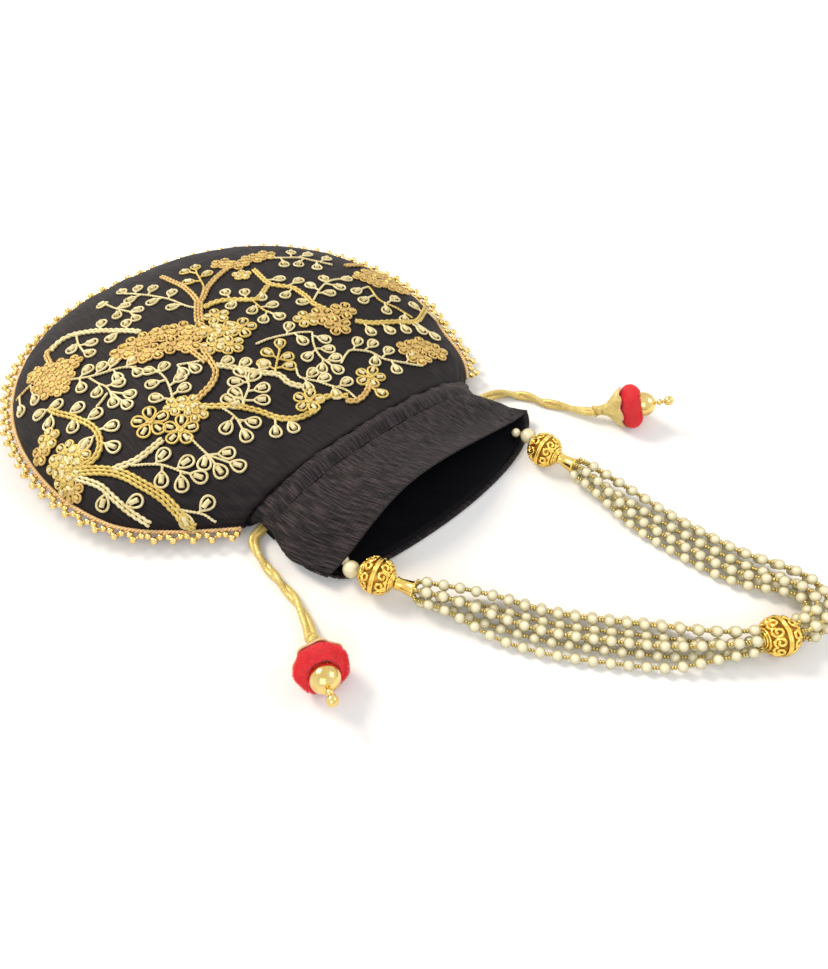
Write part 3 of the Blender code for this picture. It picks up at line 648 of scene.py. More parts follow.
def lathe(mesh: Mesh, profile: Sequence[tuple[float, float]], steps: int, matrix: Matrix) -> None:
    """Turns a profile of (radius, height) points about Z.

    Args:
        mesh: the bmesh that the turned shape is added to.
        profile: the points, closed into a loop unless both ends lie on the axis.
        steps: faces round the axis.
        matrix: the place and heading of the finished shape.
    """
    before = set(mesh.verts)
    verts = [mesh.verts.new((radius, 0.0, height)) for radius, height in profile]
    edges = [mesh.edges.new(pair) for pair in zip(verts, verts[1:])]
    if profile[0][0] > 0.0 or profile[-1][0] > 0.0:
        edges.append(mesh.edges.new((verts[-1], verts[0])))
    bmesh.ops.spin(mesh, geom=verts + edges, cent=(0.0, 0.0, 0.0), axis=UP,
                   dvec=(0.0, 0.0, 0.0), angle=FULL_TURN, steps=steps, use_merge=True)
    made = [vert for vert in mesh.verts if vert not in before]
    bmesh.ops.remove_doubles(mesh, verts=made, dist=0.00001)
    made = [vert for vert in mesh.verts if vert not in before]
    faces = {face for vert in made for face in vert.link_faces}
    bmesh.ops.recalc_face_normals(mesh, faces=list(faces))
    bmesh.ops.transform(mesh, matrix=matrix, verts=made)


def arc(radius: float, start: float, end: float, steps: int) -> list[tuple[float, float]]:
    """Profile points on a circle about the origin, by latitude in radians."""
    angles = [mix(start, end, step / steps) for step in range(steps + 1)]
    return [(radius * math.cos(angle), radius * math.sin(angle)) for angle in angles]


# The bag's form, as in the CAD

@dataclass(frozen=True)
class BagForm:
    """The surfaces of the bag: the same formulas and sizes as its CAD, in metres."""

    half_width: float = 0.109
    above: float = 0.112
    below: float = 0.106
    exponent: float = 2.2
    top_z: float = 0.035
    seam_z: float = 0.0095
    panel_wall: float = 0.0018
    pillow_power: float = 2.4
    pillow_round: float = 0.6
    back_flat: float = 1.25
    blunt_end: float = 0.0005
    neck_y: float = -0.084
    neck_tilt: float = -0.0385
    neck_shift: float = 0.0105
    neck_shift_start: float = -0.040
    neck_seam_z: float = 0.0061
    neck_top_z: float = 0.0245
    casing_width: float = 0.011
    casing_half: float = 0.063
    casing_ridge: float = 0.0018
    casing_under: float = 0.0056
    mouth_left: Vector = Vector((-0.050, -0.1265))
    mouth_right: Vector = Vector((0.085, -0.119))
    mouth_top_z: float = 0.0285
    mouth_skew: float = 0.25
    lip_round_left: float = 1.9
    lip_round_right: float = 1.1
    upper_bulge: float = 0.0035
    lower_bulge: float = 0.0155
    lower_skew: float = 0.25
    lower_round: float = 0.6
    collar_back_flat: float = 2.2
    collar_left_bulge: float = 0.004
    gap: float = 0.0003

    def outline(self, y: float, inset: float = 0.0) -> float:
        """Half the body's width at y, for the outline moved in by the inset."""
        half = self.half_width - inset
        if y >= 0.0:
            share = min(1.0, y / (self.above - inset))
            return half * (1.0 - share ** self.exponent) ** (1.0 / self.exponent)
        return half * math.sqrt(max(0.0, 1.0 - (y / self.below) ** 2))

    def shift(self, y: float) -> float:
        """How far the body's middle has moved towards the neck's middle at y."""
        run = self.neck_shift_start - self.neck_y
        return self.neck_shift * smooth((self.neck_shift_start - y) / run)

    def seam(self, y: float) -> float:
        """The height of the side seam at y."""
        return mix(self.seam_z, self.neck_seam_z, smooth(y / self.neck_y))

    def neck_line(self, x: float) -> float:
        """The y of the line where the body meets the casing."""
        return self.neck_y + self.neck_tilt * (x - self.neck_shift)

    def pillow(self, across: float) -> float:
        """The rounded cross profile of a padded panel, 1 in the middle."""
        return max(0.0, 1.0 - abs(across) ** self.pillow_power) ** self.pillow_round

    def back_pillow(self, across: float, flat: float) -> float:
        """The share of its full depth that the back has, flat over its middle."""
        return min(1.0, flat * self.pillow(across))

    def rise(self, y: float, end_y: float, inset: float) -> float:
        """The height of the front panel's middle line over the seam at y."""
        full = self.top_z - inset - self.seam_z
        if y >= 0.0:
            share = min(1.0, y / end_y)
            return full * (1.0 - share ** self.pillow_power) ** self.pillow_round
        at_neck = self.neck_top_z - inset - self.neck_seam_z
        return mix(full, at_neck, smooth(y / self.neck_y))

    def body(self, across: float, along: float, side: int, inset: float) -> Vector:
        """A point of a body panel.

        Args:
            across: -1 at the left seam to 1 at the right one.
            along: 0 at the neck to 1 at the bottom edge.
            side: 1 for the front panel, -1 for the back.
            inset: depth under the outer surface.

        Returns:
            The point in the bag's frame.
        """
        end_y = self.above - self.blunt_end - inset
        share = math.sin(0.5 * math.pi * along)
        x = self.neck_shift
        y = self.neck_y
        for _ in range(4):
            y = mix(self.neck_line(x), end_y, share)
            x = self.shift(y) + across * self.outline(y, inset)
        seam = self.seam(y) + side * 0.5 * self.gap
        if side > 0:
            return Vector((x, y, seam + self.rise(y, end_y, inset) * self.pillow(across)))
        end = max(0.0, 1.0 - max(0.0, y / end_y) ** 4) ** self.pillow_round
        depth = (seam - inset) * self.back_pillow(across, self.back_flat)
        return Vector((x, y, seam - depth * min(1.0, self.back_flat * end)))

    def casing(self, across: float, along: float, side: int, inset: float) -> Vector:
        """A point of the casing: along is 0 at the body and 1 at the collar."""
        half = self.casing_half - max(0.0, inset)
        x = self.neck_shift + across * half
        y = self.neck_line(x) - self.gap - along * (self.casing_width - self.gap)
        if side > 0:
            ridge = self.casing_ridge * math.sin(math.pi * along)
            top = self.neck_top_z - self.neck_seam_z + ridge - inset
            return Vector((x, y, self.neck_seam_z + 0.5 * self.gap + top * self.pillow(across)))
        return Vector((x, y, self.casing_under + self.gap))

    def lip(self, across: float) -> float:
        """The cross profile of the open upper lip, highest left of its middle."""
        leaning = across + self.mouth_skew * (1.0 - across * across)
        power = self.lip_round_left if leaning < 0.0 else self.lip_round_right
        return max(0.0, 1.0 - leaning * leaning) ** power

    def collar(self, across: float, along: float, side: int, inset: float) -> Vector:
        """A point of the collar: along is 0 at the casing and 1 at the lip."""
        start_left = Vector((self.neck_shift - self.casing_half, 0.0))
        start_right = Vector((self.neck_shift + self.casing_half, 0.0))
        for corner in (start_left, start_right):
            corner.y = self.neck_line(corner.x) - self.casing_width - self.gap
        left = start_left.lerp(self.mouth_left, along)
        right = start_right.lerp(self.mouth_right, along)
        left.x += inset - self.collar_left_bulge * math.sin(math.pi * along)
        right.x -= inset
        point = left.lerp(right, 0.5 + 0.5 * across)
        rim = max(0.0, 1.0 - across * across)
        seam = self.neck_seam_z + side * 0.5 * self.gap
        if side > 0:
            point.y -= self.upper_bulge * rim * along * along
            top = mix(self.neck_top_z, self.mouth_top_z, smooth(along))
            shape = mix(self.pillow(across), self.lip(across), smooth(along))
            return Vector((point.x, point.y, seam + (top - self.neck_seam_z - inset) * shape))
        bulge = self.lower_bulge * rim ** self.lower_round * (1.0 + self.lower_skew * across)
        point.y -= bulge * along * along
        depth = (seam - inset) * self.back_pillow(across, self.collar_back_flat)
        return Vector((point.x, point.y, seam - depth))


FORM = BagForm()


# Camera, light and stage

@dataclass(frozen=True)
class PhotoCamera:
    """The camera that took the photograph: its place, its direction and its lens."""

    position: Vector = Vector((-0.15517, -0.28541, 0.270))
    direction: Vector = Vector((0.4666, 0.4796, -0.7431))
    focal_pixels: float = 781.0
    sensor: float = 36.0

    def frame_axes(self) -> tuple[Vector, Vector, Vector]:
        """The camera's right, up and forward directions."""
        forward = self.direction.normalized()
        right = forward.cross(UP).normalized()
        return right, right.cross(forward), forward

    def ray(self, pixel: Pixel) -> Vector:
        """The direction from the camera through a pixel of the photograph."""
        right, up, forward = self.frame_axes()
        across = (pixel[0] - 0.5 * PHOTO_WIDTH) / self.focal_pixels
        rise = (0.5 * PHOTO_HEIGHT - pixel[1]) / self.focal_pixels
        return (forward + right * across + up * rise).normalized()

    def build(self) -> None:
        """Creates the camera and makes it the scene's."""
        data = bpy.data.cameras.new("photo_camera")
        data.sensor_fit = "VERTICAL"
        data.sensor_height = self.sensor
        data.lens = self.focal_pixels * self.sensor / PHOTO_HEIGHT
        data.clip_start = 0.01
        obj = bpy.data.objects.new("photo_camera", data)
        turn = self.direction.to_track_quat("-Z", "Y")
        obj.matrix_world = Matrix.Translation(self.position) @ turn.to_matrix().to_4x4()
        bpy.context.scene.collection.objects.link(obj)
        bpy.context.scene.camera = obj


@dataclass(frozen=True)
class Studio:
    """A white paper floor under soft lamps."""

    floor_size: float = 3.0
    floor_colour: str = "#fbfbfb"
    # The paper lies a hair under the bag, so that the two never share a plane
    floor_drop: float = 0.0006
    room_light: float = 0.62
    aim: Vector = Vector((0.0, -0.05, 0.0))

    def build(self) -> None:
        """Creates the floor, the world and the lamps."""
        self.floor()
        self.world()
        self.lamp("key_softbox", Vector((-0.25, 0.85, 1.05)), 16.0, 0.5, "#fff0dc")
        self.lamp("fill_softbox", Vector((-0.95, -0.75, 0.9)), 4.0, 0.9, "#f6f8ff")
        self.lamp("front_softbox", Vector((0.75, -0.75, 0.8)), 3.2, 0.6, "#fffaf2")

    def floor(self) -> None:
        """A matt white floor that shows as white to the camera and keeps its shadows."""
        mesh = bmesh.new()
        bmesh.ops.create_grid(mesh, x_segments=1, y_segments=1, size=0.5 * self.floor_size)
        data = bpy.data.meshes.new("paper_floor")
        mesh.to_mesh(data)
        mesh.free()
        made = bpy.data.materials.new("matt_white_paper")
        made.use_nodes = True
        tree = made.node_tree
        tree.nodes.clear()
        shader = add_node(tree, "ShaderNodeBsdfDiffuse", values={
            "Color": linear(self.floor_colour), "Roughness": 1.0})
        add_node(tree, "ShaderNodeOutputMaterial", links={"Surface": shader.outputs["BSDF"]})
        data.materials.append(made)
        obj = bpy.data.objects.new("paper_floor", data)
        data.transform(Matrix.Translation((0.0, 0.0, -self.floor_drop)))
        bpy.context.scene.collection.objects.link(obj)

    def world(self) -> None:
        """Pale light from everywhere, and white where the camera or a reflection looks."""
        made = bpy.data.worlds.new("pale_room")
        bpy.context.scene.world = made
        made.use_nodes = True
        tree = made.node_tree
        tree.nodes.clear()
        path = add_node(tree, "ShaderNodeLightPath")
        seen = add_node(tree, "ShaderNodeMath", settings={"operation": "MAXIMUM"},
                        links={0: path.outputs["Is Camera Ray"],
                               1: path.outputs["Is Transmission Ray"]})
        both = add_node(tree, "ShaderNodeMath", settings={"operation": "MAXIMUM"},
                        links={0: seen.outputs["Value"], 1: path.outputs["Is Glossy Ray"]})
        strength = add_node(tree, "ShaderNodeMapRange",
                            values={"To Min": self.room_light, "To Max": 1.0},
                            links={"Value": both.outputs["Value"]})
        shade = add_node(tree, "ShaderNodeBackground", values={"Color": linear("#ffffff")},
                         links={"Strength": strength.outputs["Result"]})
        add_node(tree, "ShaderNodeOutputWorld", links={"Surface": shade.outputs["Background"]})

    def lamp(self, name: str, place: Vector, power: float, size: float, colour: str) -> None:
        """One square softbox that faces the bag."""
        data = bpy.data.lights.new(name, "AREA")
        data.shape = "SQUARE"
        data.size = size
        data.energy = power
        data.color = linear(colour)[:3]
        obj = bpy.data.objects.new(name, data)
        turn = (self.aim - place).to_track_quat("-Z", "Y")
        obj.matrix_world = Matrix.Translation(place) @ turn.to_matrix().to_4x4()
        bpy.context.scene.collection.objects.link(obj)


CAMERA = PhotoCamera()


# Cloth

Surface = Callable[[float, float], Vector]
Relief = Callable[[float, float, float, float], float]


@dataclass(frozen=True)
class ClothMaker:
    """Lays a fine grid of cloth on a surface of the bag and works its folds into it."""

    def grid(self, surface: Surface, columns: int, rows: int, relief: Relief,
             outward: float = 1.0, welded: bool = False) -> Mesh:
        """A cloth grid with a UV map in metres.

        Args:
            surface: gives the point at (across, along), from -1 to 1 and from 0 to 1.
            columns: faces across.
            rows: faces along.
            relief: height over the surface at (across, along, u, v), with u and v in metres.
            outward: 1, or -1 where the grid's own normals face into the bag.
            welded: whether the grid's two sides are one line of cloth.

        Returns:
            The bmesh.
        """
        mesh = bmesh.new()
        bmesh.ops.create_grid(mesh, x_segments=columns, y_segments=rows, size=1.0)
        table: dict[tuple[int, int], bmesh.types.BMVert] = {}
        params: dict[bmesh.types.BMVert, tuple[float, float]] = {}
        for vert in mesh.verts:
            column = round((vert.co.x + 1.0) * 0.5 * columns)
            row = round((vert.co.y + 1.0) * 0.5 * rows)
            table[(column, row)] = vert
            params[vert] = (2.0 * column / columns - 1.0, row / rows)
        for vert, (across, along) in params.items():
            vert.co = surface(across, along)
        lengths = self.measure(table, columns, rows)
        layer = mesh.loops.layers.uv.new("cloth_metres")
        for face in mesh.faces:
            for loop in face.loops:
                loop[layer].uv = lengths[loop.vert]
        mesh.normal_update()
        raised = {}
        for vert, (across, along) in params.items():
            u, v = lengths[vert]
            raised[vert] = relief(across, along, u, v) * outward * vert.normal
        for vert, move in raised.items():
            vert.co += move
        if outward < 0.0:
            bmesh.ops.reverse_faces(mesh, faces=mesh.faces)
        if welded:
            for row in range(rows + 1):
                table[(columns, row)].co = table[(0, row)].co
            bmesh.ops.remove_doubles(mesh, verts=mesh.verts, dist=0.000001)
        return mesh

    def measure(self, table: dict, columns: int, rows: int) -> dict:
        """The cloth's own metres across and along at each vertex of a grid."""
        lengths = {}
        middle = columns // 2
        along = 0.0
        for row in range(rows + 1):
            if row:
                along += (table[(middle, row)].co - table[(middle, row - 1)].co).length
            steps = [0.0]
            for column in range(columns):
                steps.append(steps[-1] + (table[(column + 1, row)].co
                                          - table[(column, row)].co).length)
            for column in range(columns + 1):
                lengths[table[(column, row)]] = (steps[column] - steps[middle], along)
        return lengths

    def thicken(self, obj: Object, thickness: float) -> None:
        """Gives a sheet its thickness towards the inside of the bag."""
        wall = obj.modifiers.new("cloth_thickness", "SOLIDIFY")
        wall.thickness = thickness
        wall.offset = -1.0
        wall.use_even_offset = False


CLOTH = ClothMaker()


def spread(across: float) -> float:
    """Moves evenly spaced places closer together towards both seams."""
    return math.sin(0.5 * math.pi * across)


@dataclass
class BodyPanels:
    """The padded front and back panels of the body."""

    columns: int = 170
    rows: int = 140
    back_columns: int = 110
    back_rows: int = 90
    thickness: float = 0.0012
    # Gathers: their pitch and depth, how far they run, and how often they change in a metre
    gather_pitch: float = 0.0052
    gather_depth: float = 0.0011
    gather_run: float = 0.020
    gather_change: float = 22.0
    fine_pitch: float = 0.0019
    fine_depth: float = 0.00035
    fine_change: float = 40.0
    # Dents: about 12 mm wide on the front, with finer ones of 5 mm, and 17 mm on the back
    dent_depth: float = 0.00045
    dent_rate: float = 85.0
    fine_dent_rate: float = 210.0
    fine_dent_share: float = 0.4
    back_dent_rate: float = 60.0
    back_share: float = 0.6
    # The back lies on the table up to this share of its half width and is clear further out
    flat_share: float = 0.55
    lifting_share: float = 0.3
    front: Object | None = None

    def gathers(self, across: float, v: float, seed: float) -> float:
        """The height of the gathers that run from the neck seam into the panel."""
        neck = across * FORM.casing_half
        fade = math.exp(-v / self.gather_run)
        wide = ripple(neck / self.gather_pitch, v * self.gather_change, seed)
        fine = ripple(neck / self.fine_pitch, v * self.fine_change, seed + 5.0)
        return fade * (self.gather_depth * wide + self.fine_depth * fine)

    def front_relief(self, across: float, along: float, u: float, v: float) -> float:
        """Gathers at the neck and the shallow dents between the stitches of the embroidery."""
        rim = smooth((1.0 - abs(across)) / 0.05) * smooth((1.0 - along) / 0.03)
        dents = self.dent_depth * ripple(u * self.dent_rate, v * self.dent_rate, 2.0)
        fine = ripple(u * self.fine_dent_rate, v * self.fine_dent_rate, 4.0)
        dents += self.fine_dent_share * self.dent_depth * fine
        return rim * (self.gathers(across, v, 1.0) + dents)

    def back_relief(self, across: float, along: float, u: float, v: float) -> float:
        """Softer gathers where the panel is clear of the table, none where it lies on it."""
        rim = smooth((1.0 - abs(across)) / 0.06) * smooth((1.0 - along) / 0.04)
        clear = smooth((abs(across) - self.flat_share) / self.lifting_share)
        wide = ripple(u * self.back_dent_rate, v * self.back_dent_rate, 7.0)
        dents = self.back_share * self.dent_depth * wide
        return rim * clear * (self.back_share * self.gathers(across, v, 8.0) + dents)

    def build(self) -> None:
        """Makes both panels."""
        front = CLOTH.grid(lambda across, along: FORM.body(spread(across), along, 1, 0.0),
                           self.columns, self.rows, self.front_relief)
        self.front = MAKER.piece("front_panel", front, SILK, "bag", ["body_front"])
        back = CLOTH.grid(lambda across, along: FORM.body(spread(across), along, -1, 0.0),
                          self.back_columns, self.back_rows, self.back_relief, -1.0)
        under = MAKER.piece("back_panel", back, SILK, "bag", ["body_back"])
        for panel in (self.front, under):
            CLOTH.thicken(panel, self.thickness)

    def tree(self) -> BVHTree:
        """The front panel's outer surface, for work that is sewn on it."""
        mesh = bmesh.new()
        mesh.from_mesh(self.front.data)
        tree = BVHTree.FromBMesh(mesh)
        mesh.free()
        return tree


@dataclass
class Neck:
    """The string casing, the open collar and the lining pouch."""

    thickness: float = 0.0009
    lining_thickness: float = 0.0004
    # Casing: wide puffs and fine puckers on a channel that is round over its string. It is
    # tucked under the front panel by a share of its width, and flares there.
    puff_pitch: float = 0.0048
    puff_depth: float = 0.0009
    pucker_pitch: float = 0.0019
    pucker_depth: float = 0.0003
    channel_round: float = 0.0006
    tuck: float = 0.22
    flare: float = 0.065
    flare_start: float = 0.3
    flare_run: float = 0.35
    # Collar: pleats that wander by up to 1.2 mm, folds that fade from its root, slow swells
    pleat_pitch: float = 0.0014
    pleat_depth: float = 0.00034
    pleat_wander: float = 0.0012
    fold_pitch: float = 0.0068
    fold_depth: float = 0.0008
    fold_fade: float = 3.2
    swell: float = 0.0006
    hem: float = 0.0002
    hem_start: float = 0.90
    # Towards the lip the relief sinks under the CAD's surface, where the handle passes
    lip_start: float = 0.45
    lip_run: float = 0.3
    lip_sink: float = 0.0004
    lip_deepest: float = 0.0009
    collar_rows: int = 60
    # Lining: its depth is shared between collar, casing and body, and it hangs clear of them
    collar_share: float = 0.3
    casing_share: float = 0.1
    lining_top: float = 0.965
    lining_clear: float = 0.0007
    lining_hang: float = 0.0026
    lining_floor: float = 0.0040
    slack: float = 0.0007
    fine_slack: float = 0.0004

    def casing_relief(self, across: float, along: float, u: float, v: float) -> float:
        """Tight puckers over the string in the casing."""
        neck = spread(across) * FORM.casing_half
        rim = smooth((1.0 - abs(across)) / 0.03)
        wide = ripple(neck / self.puff_pitch, along * 1.6, 11.0)
        fine = ripple(neck / self.pucker_pitch, along * 2.2, 12.0)
        hollow = self.channel_round * math.cos(FULL_TURN * along)
        return rim * (self.puff_depth * wide + self.pucker_depth * fine - hollow)

    def collar_relief(self, across: float, along: float, u: float, v: float) -> float:
        """Fine wavy pleats along the collar, folds at its root and a hem at its lip."""
        rim = smooth((1.0 - abs(across)) / 0.04)
        wave = self.pleat_wander * ripple(u * 60.0, v * 160.0, 21.0)
        pleats = 1.0 - 3.0 * abs(ripple((u + wave) / self.pleat_pitch, v * 130.0, 22.0))
        fade = math.exp(-self.fold_fade * along)
        folds = ripple(u / self.fold_pitch, v * 20.0, 23.0) * fade
        slow = ripple(u * 26.0, v * 30.0, 24.0)
        turned = smooth((along - self.hem_start) / 0.03)
        height = (self.pleat_depth * pleats + self.fold_depth * folds + self.swell * slow
                  + self.hem * turned)
        sunk = min(max(height, -self.lip_deepest), 0.0) - self.lip_sink
        return rim * mix(height, sunk, smooth((along - self.lip_start) / self.lip_run))

    def build(self) -> None:
        """Makes the casing, both sides of the collar and the lining."""
        self.build_casing()
        self.build_collar()
        self.build_lining()

    def casing_point(self, across: float, along: float) -> Vector:
        """A point of the casing, tucked under the front panel and as wide as it there."""
        along = mix(-self.tuck, 1.0, along)
        point = FORM.casing(spread(across), along, 1, 0.0)
        flare = 1.0 + self.flare * smooth((self.flare_start - along) / self.flare_run)
        point.x = FORM.neck_shift + (point.x - FORM.neck_shift) * flare
        return point

    def build_casing(self) -> None:
        """The gathered channel over the neck and the plain sleeve under it."""
        mesh = CLOTH.grid(self.casing_point, 220, 26, self.casing_relief, -1.0)
        casing = MAKER.piece("string_casing_front", mesh, COLLAR_SILK, "bag",
                             ["casing_front"])
        CLOTH.thicken(casing, self.thickness)
        sleeve = bpy.data.objects["casing_back"].data
        sleeve.materials.clear()
        sleeve.materials.append(SLEEVE_SILK.material())

    def build_collar(self) -> None:
        """The two sides of the open collar."""
        for name, side, node, columns in (("collar_upper", 1, "collar_front", 420),
                                          ("collar_lower", -1, "collar_back", 300)):
            mesh = CLOTH.grid(
                lambda across, along, side=side: FORM.collar(spread(across), along, side, 0.0),
                columns, self.collar_rows,
                self.collar_relief if side > 0 else self.lower_relief,
                -1.0 if side > 0 else 1.0)
            collar = MAKER.piece(name, mesh, COLLAR_SILK, "bag", [node])
            CLOTH.thicken(collar, self.thickness)

    def lower_relief(self, across: float, along: float, u: float, v: float) -> float:
        """The lower lip's pleats, which only rise where the cloth is clear of the table."""
        height = self.collar_relief(across, along, u + 0.3, v)
        point = FORM.collar(spread(across), along, -1, 0.0)
        return min(height, point.z) if height > 0.0 else height

    def lining_point(self, turn: float, depth: float) -> Vector:
        """A point of the lining pouch.

        Args:
            turn: -1 to 0 over the front from left to right, 0 to 1 back under it.
            depth: 0 at the lip to 1 at the bottom.

        Returns:
            The point in the bag's frame.
        """
        side = 1 if turn < 0.0 else -1
        across = spread(2.0 * turn + 1.0) if turn < 0.0 else spread(1.0 - 2.0 * turn)
        inset = FORM.panel_wall + self.lining_clear
        if depth < self.collar_share:
            share = self.lining_top * (1.0 - depth / self.collar_share)
            ease = smooth(depth / self.collar_share)
            surface = FORM.collar
        elif depth < self.collar_share + self.casing_share:
            share = 1.0 - (depth - self.collar_share) / self.casing_share
            ease = 1.0
            surface = FORM.casing
        else:
            upper = self.collar_share + self.casing_share
            share = (depth - upper) / (1.0 - upper)
            ease = smooth(1.0 - share * 4.0)
            surface = FORM.body
        point = surface(across, share, side, inset + self.lining_hang * ease)
        if side < 0:
            point.z = max(point.z, inset + self.lining_floor * ease)
        return point

    def lining_relief(self, across: float, along: float, u: float, v: float) -> float:
        """Slack folds of the thin lining."""
        run = smooth(along / 0.06) * smooth((1.0 - along) / 0.1)
        wide = ripple(u * 90.0, v * 40.0, 31.0)
        fine = ripple(u * 230.0, v * 70.0, 32.0)
        return run * (self.slack * wide + self.fine_slack * fine)

    def build_lining(self) -> None:
        """The sewn lining pouch, open at the lip."""
        mesh = CLOTH.grid(self.lining_point, 240, 70, self.lining_relief, 1.0, True)
        ends = [edge for edge in mesh.edges if edge.is_boundary
                and sum(vert.co.y for vert in edge.verts) > 0.1]
        bmesh.ops.holes_fill(mesh, edges=ends, sides=0)
        bmesh.ops.recalc_face_normals(mesh, faces=mesh.faces)
        lining = MAKER.piece("lining", mesh, SATIN, "bag", ["lining_pouch"])
        CLOTH.thicken(lining, self.lining_thickness)


# Threads and cords

@dataclass(frozen=True)
class CordMaker:
    """Lays plied cords along a route."""

    def normals(self, route: Route) -> Route:
        """A direction square to the route at each point, carried along without twist."""
        carried = []
        normal = UP
        for index in range(len(route)):
            ahead = heading_at(route, index)
            normal = (normal - ahead * normal.dot(ahead)).normalized()
            carried.append(normal)
        return carried

    def plies(self, route: Route, count: int, orbit: float, pitch: float,
              normals: Route | None = None) -> list[Route]:
        """Threads twisted round each other along a route.

        Args:
            route: the cord's middle line.
            count: how many threads.
            orbit: each thread's distance from the middle line.
            pitch: the length of one full turn.
            normals: a direction square to the route at each point.

        Returns:
            One route for each thread.
        """
        normals = normals or self.normals(route)
        threads: list[Route] = [[] for _ in range(count)]
        for index, (point, travelled) in enumerate(zip(route, distances(route))):
            side = heading_at(route, index).cross(normals[index])
            for number in range(count):
                turn = FULL_TURN * (travelled / pitch + number / count)
                threads[number].append(point + orbit * (math.cos(turn) * side
                                                        + math.sin(turn) * normals[index]))
        return threads


CORDS = CordMaker()


# Embroidery

class Tone(Enum):
    """The three gold threads of the embroidery."""

    CREAM = CREAM_ZARI
    YELLOW = YELLOW_ZARI
    BRONZE = BRONZE_ZARI


@dataclass(frozen=True)
class Sprig:
    """A stem with its leaves, placed by pixels of the photograph.

    A stem of 1.6 mm or more is laid of parallel cords, and a thinner one is twisted of two
    threads.
    """

    name: str
    stem: tuple[Pixel, ...]
    leaves: tuple[Pixel, ...] = ()
    tone: Tone = Tone.CREAM
    leaf_tone: Tone = Tone.CREAM
    width: float = 0.0015
    leaf: float = 0.0066


@dataclass(frozen=True)
class Blossoms:
    """Flowers of looped petals round a knot, placed by pixels of the photograph."""

    name: str
    centres: tuple[Pixel, ...]
    tone: Tone = Tone.BRONZE
    radius: float = 0.0056
    petals: int = 5


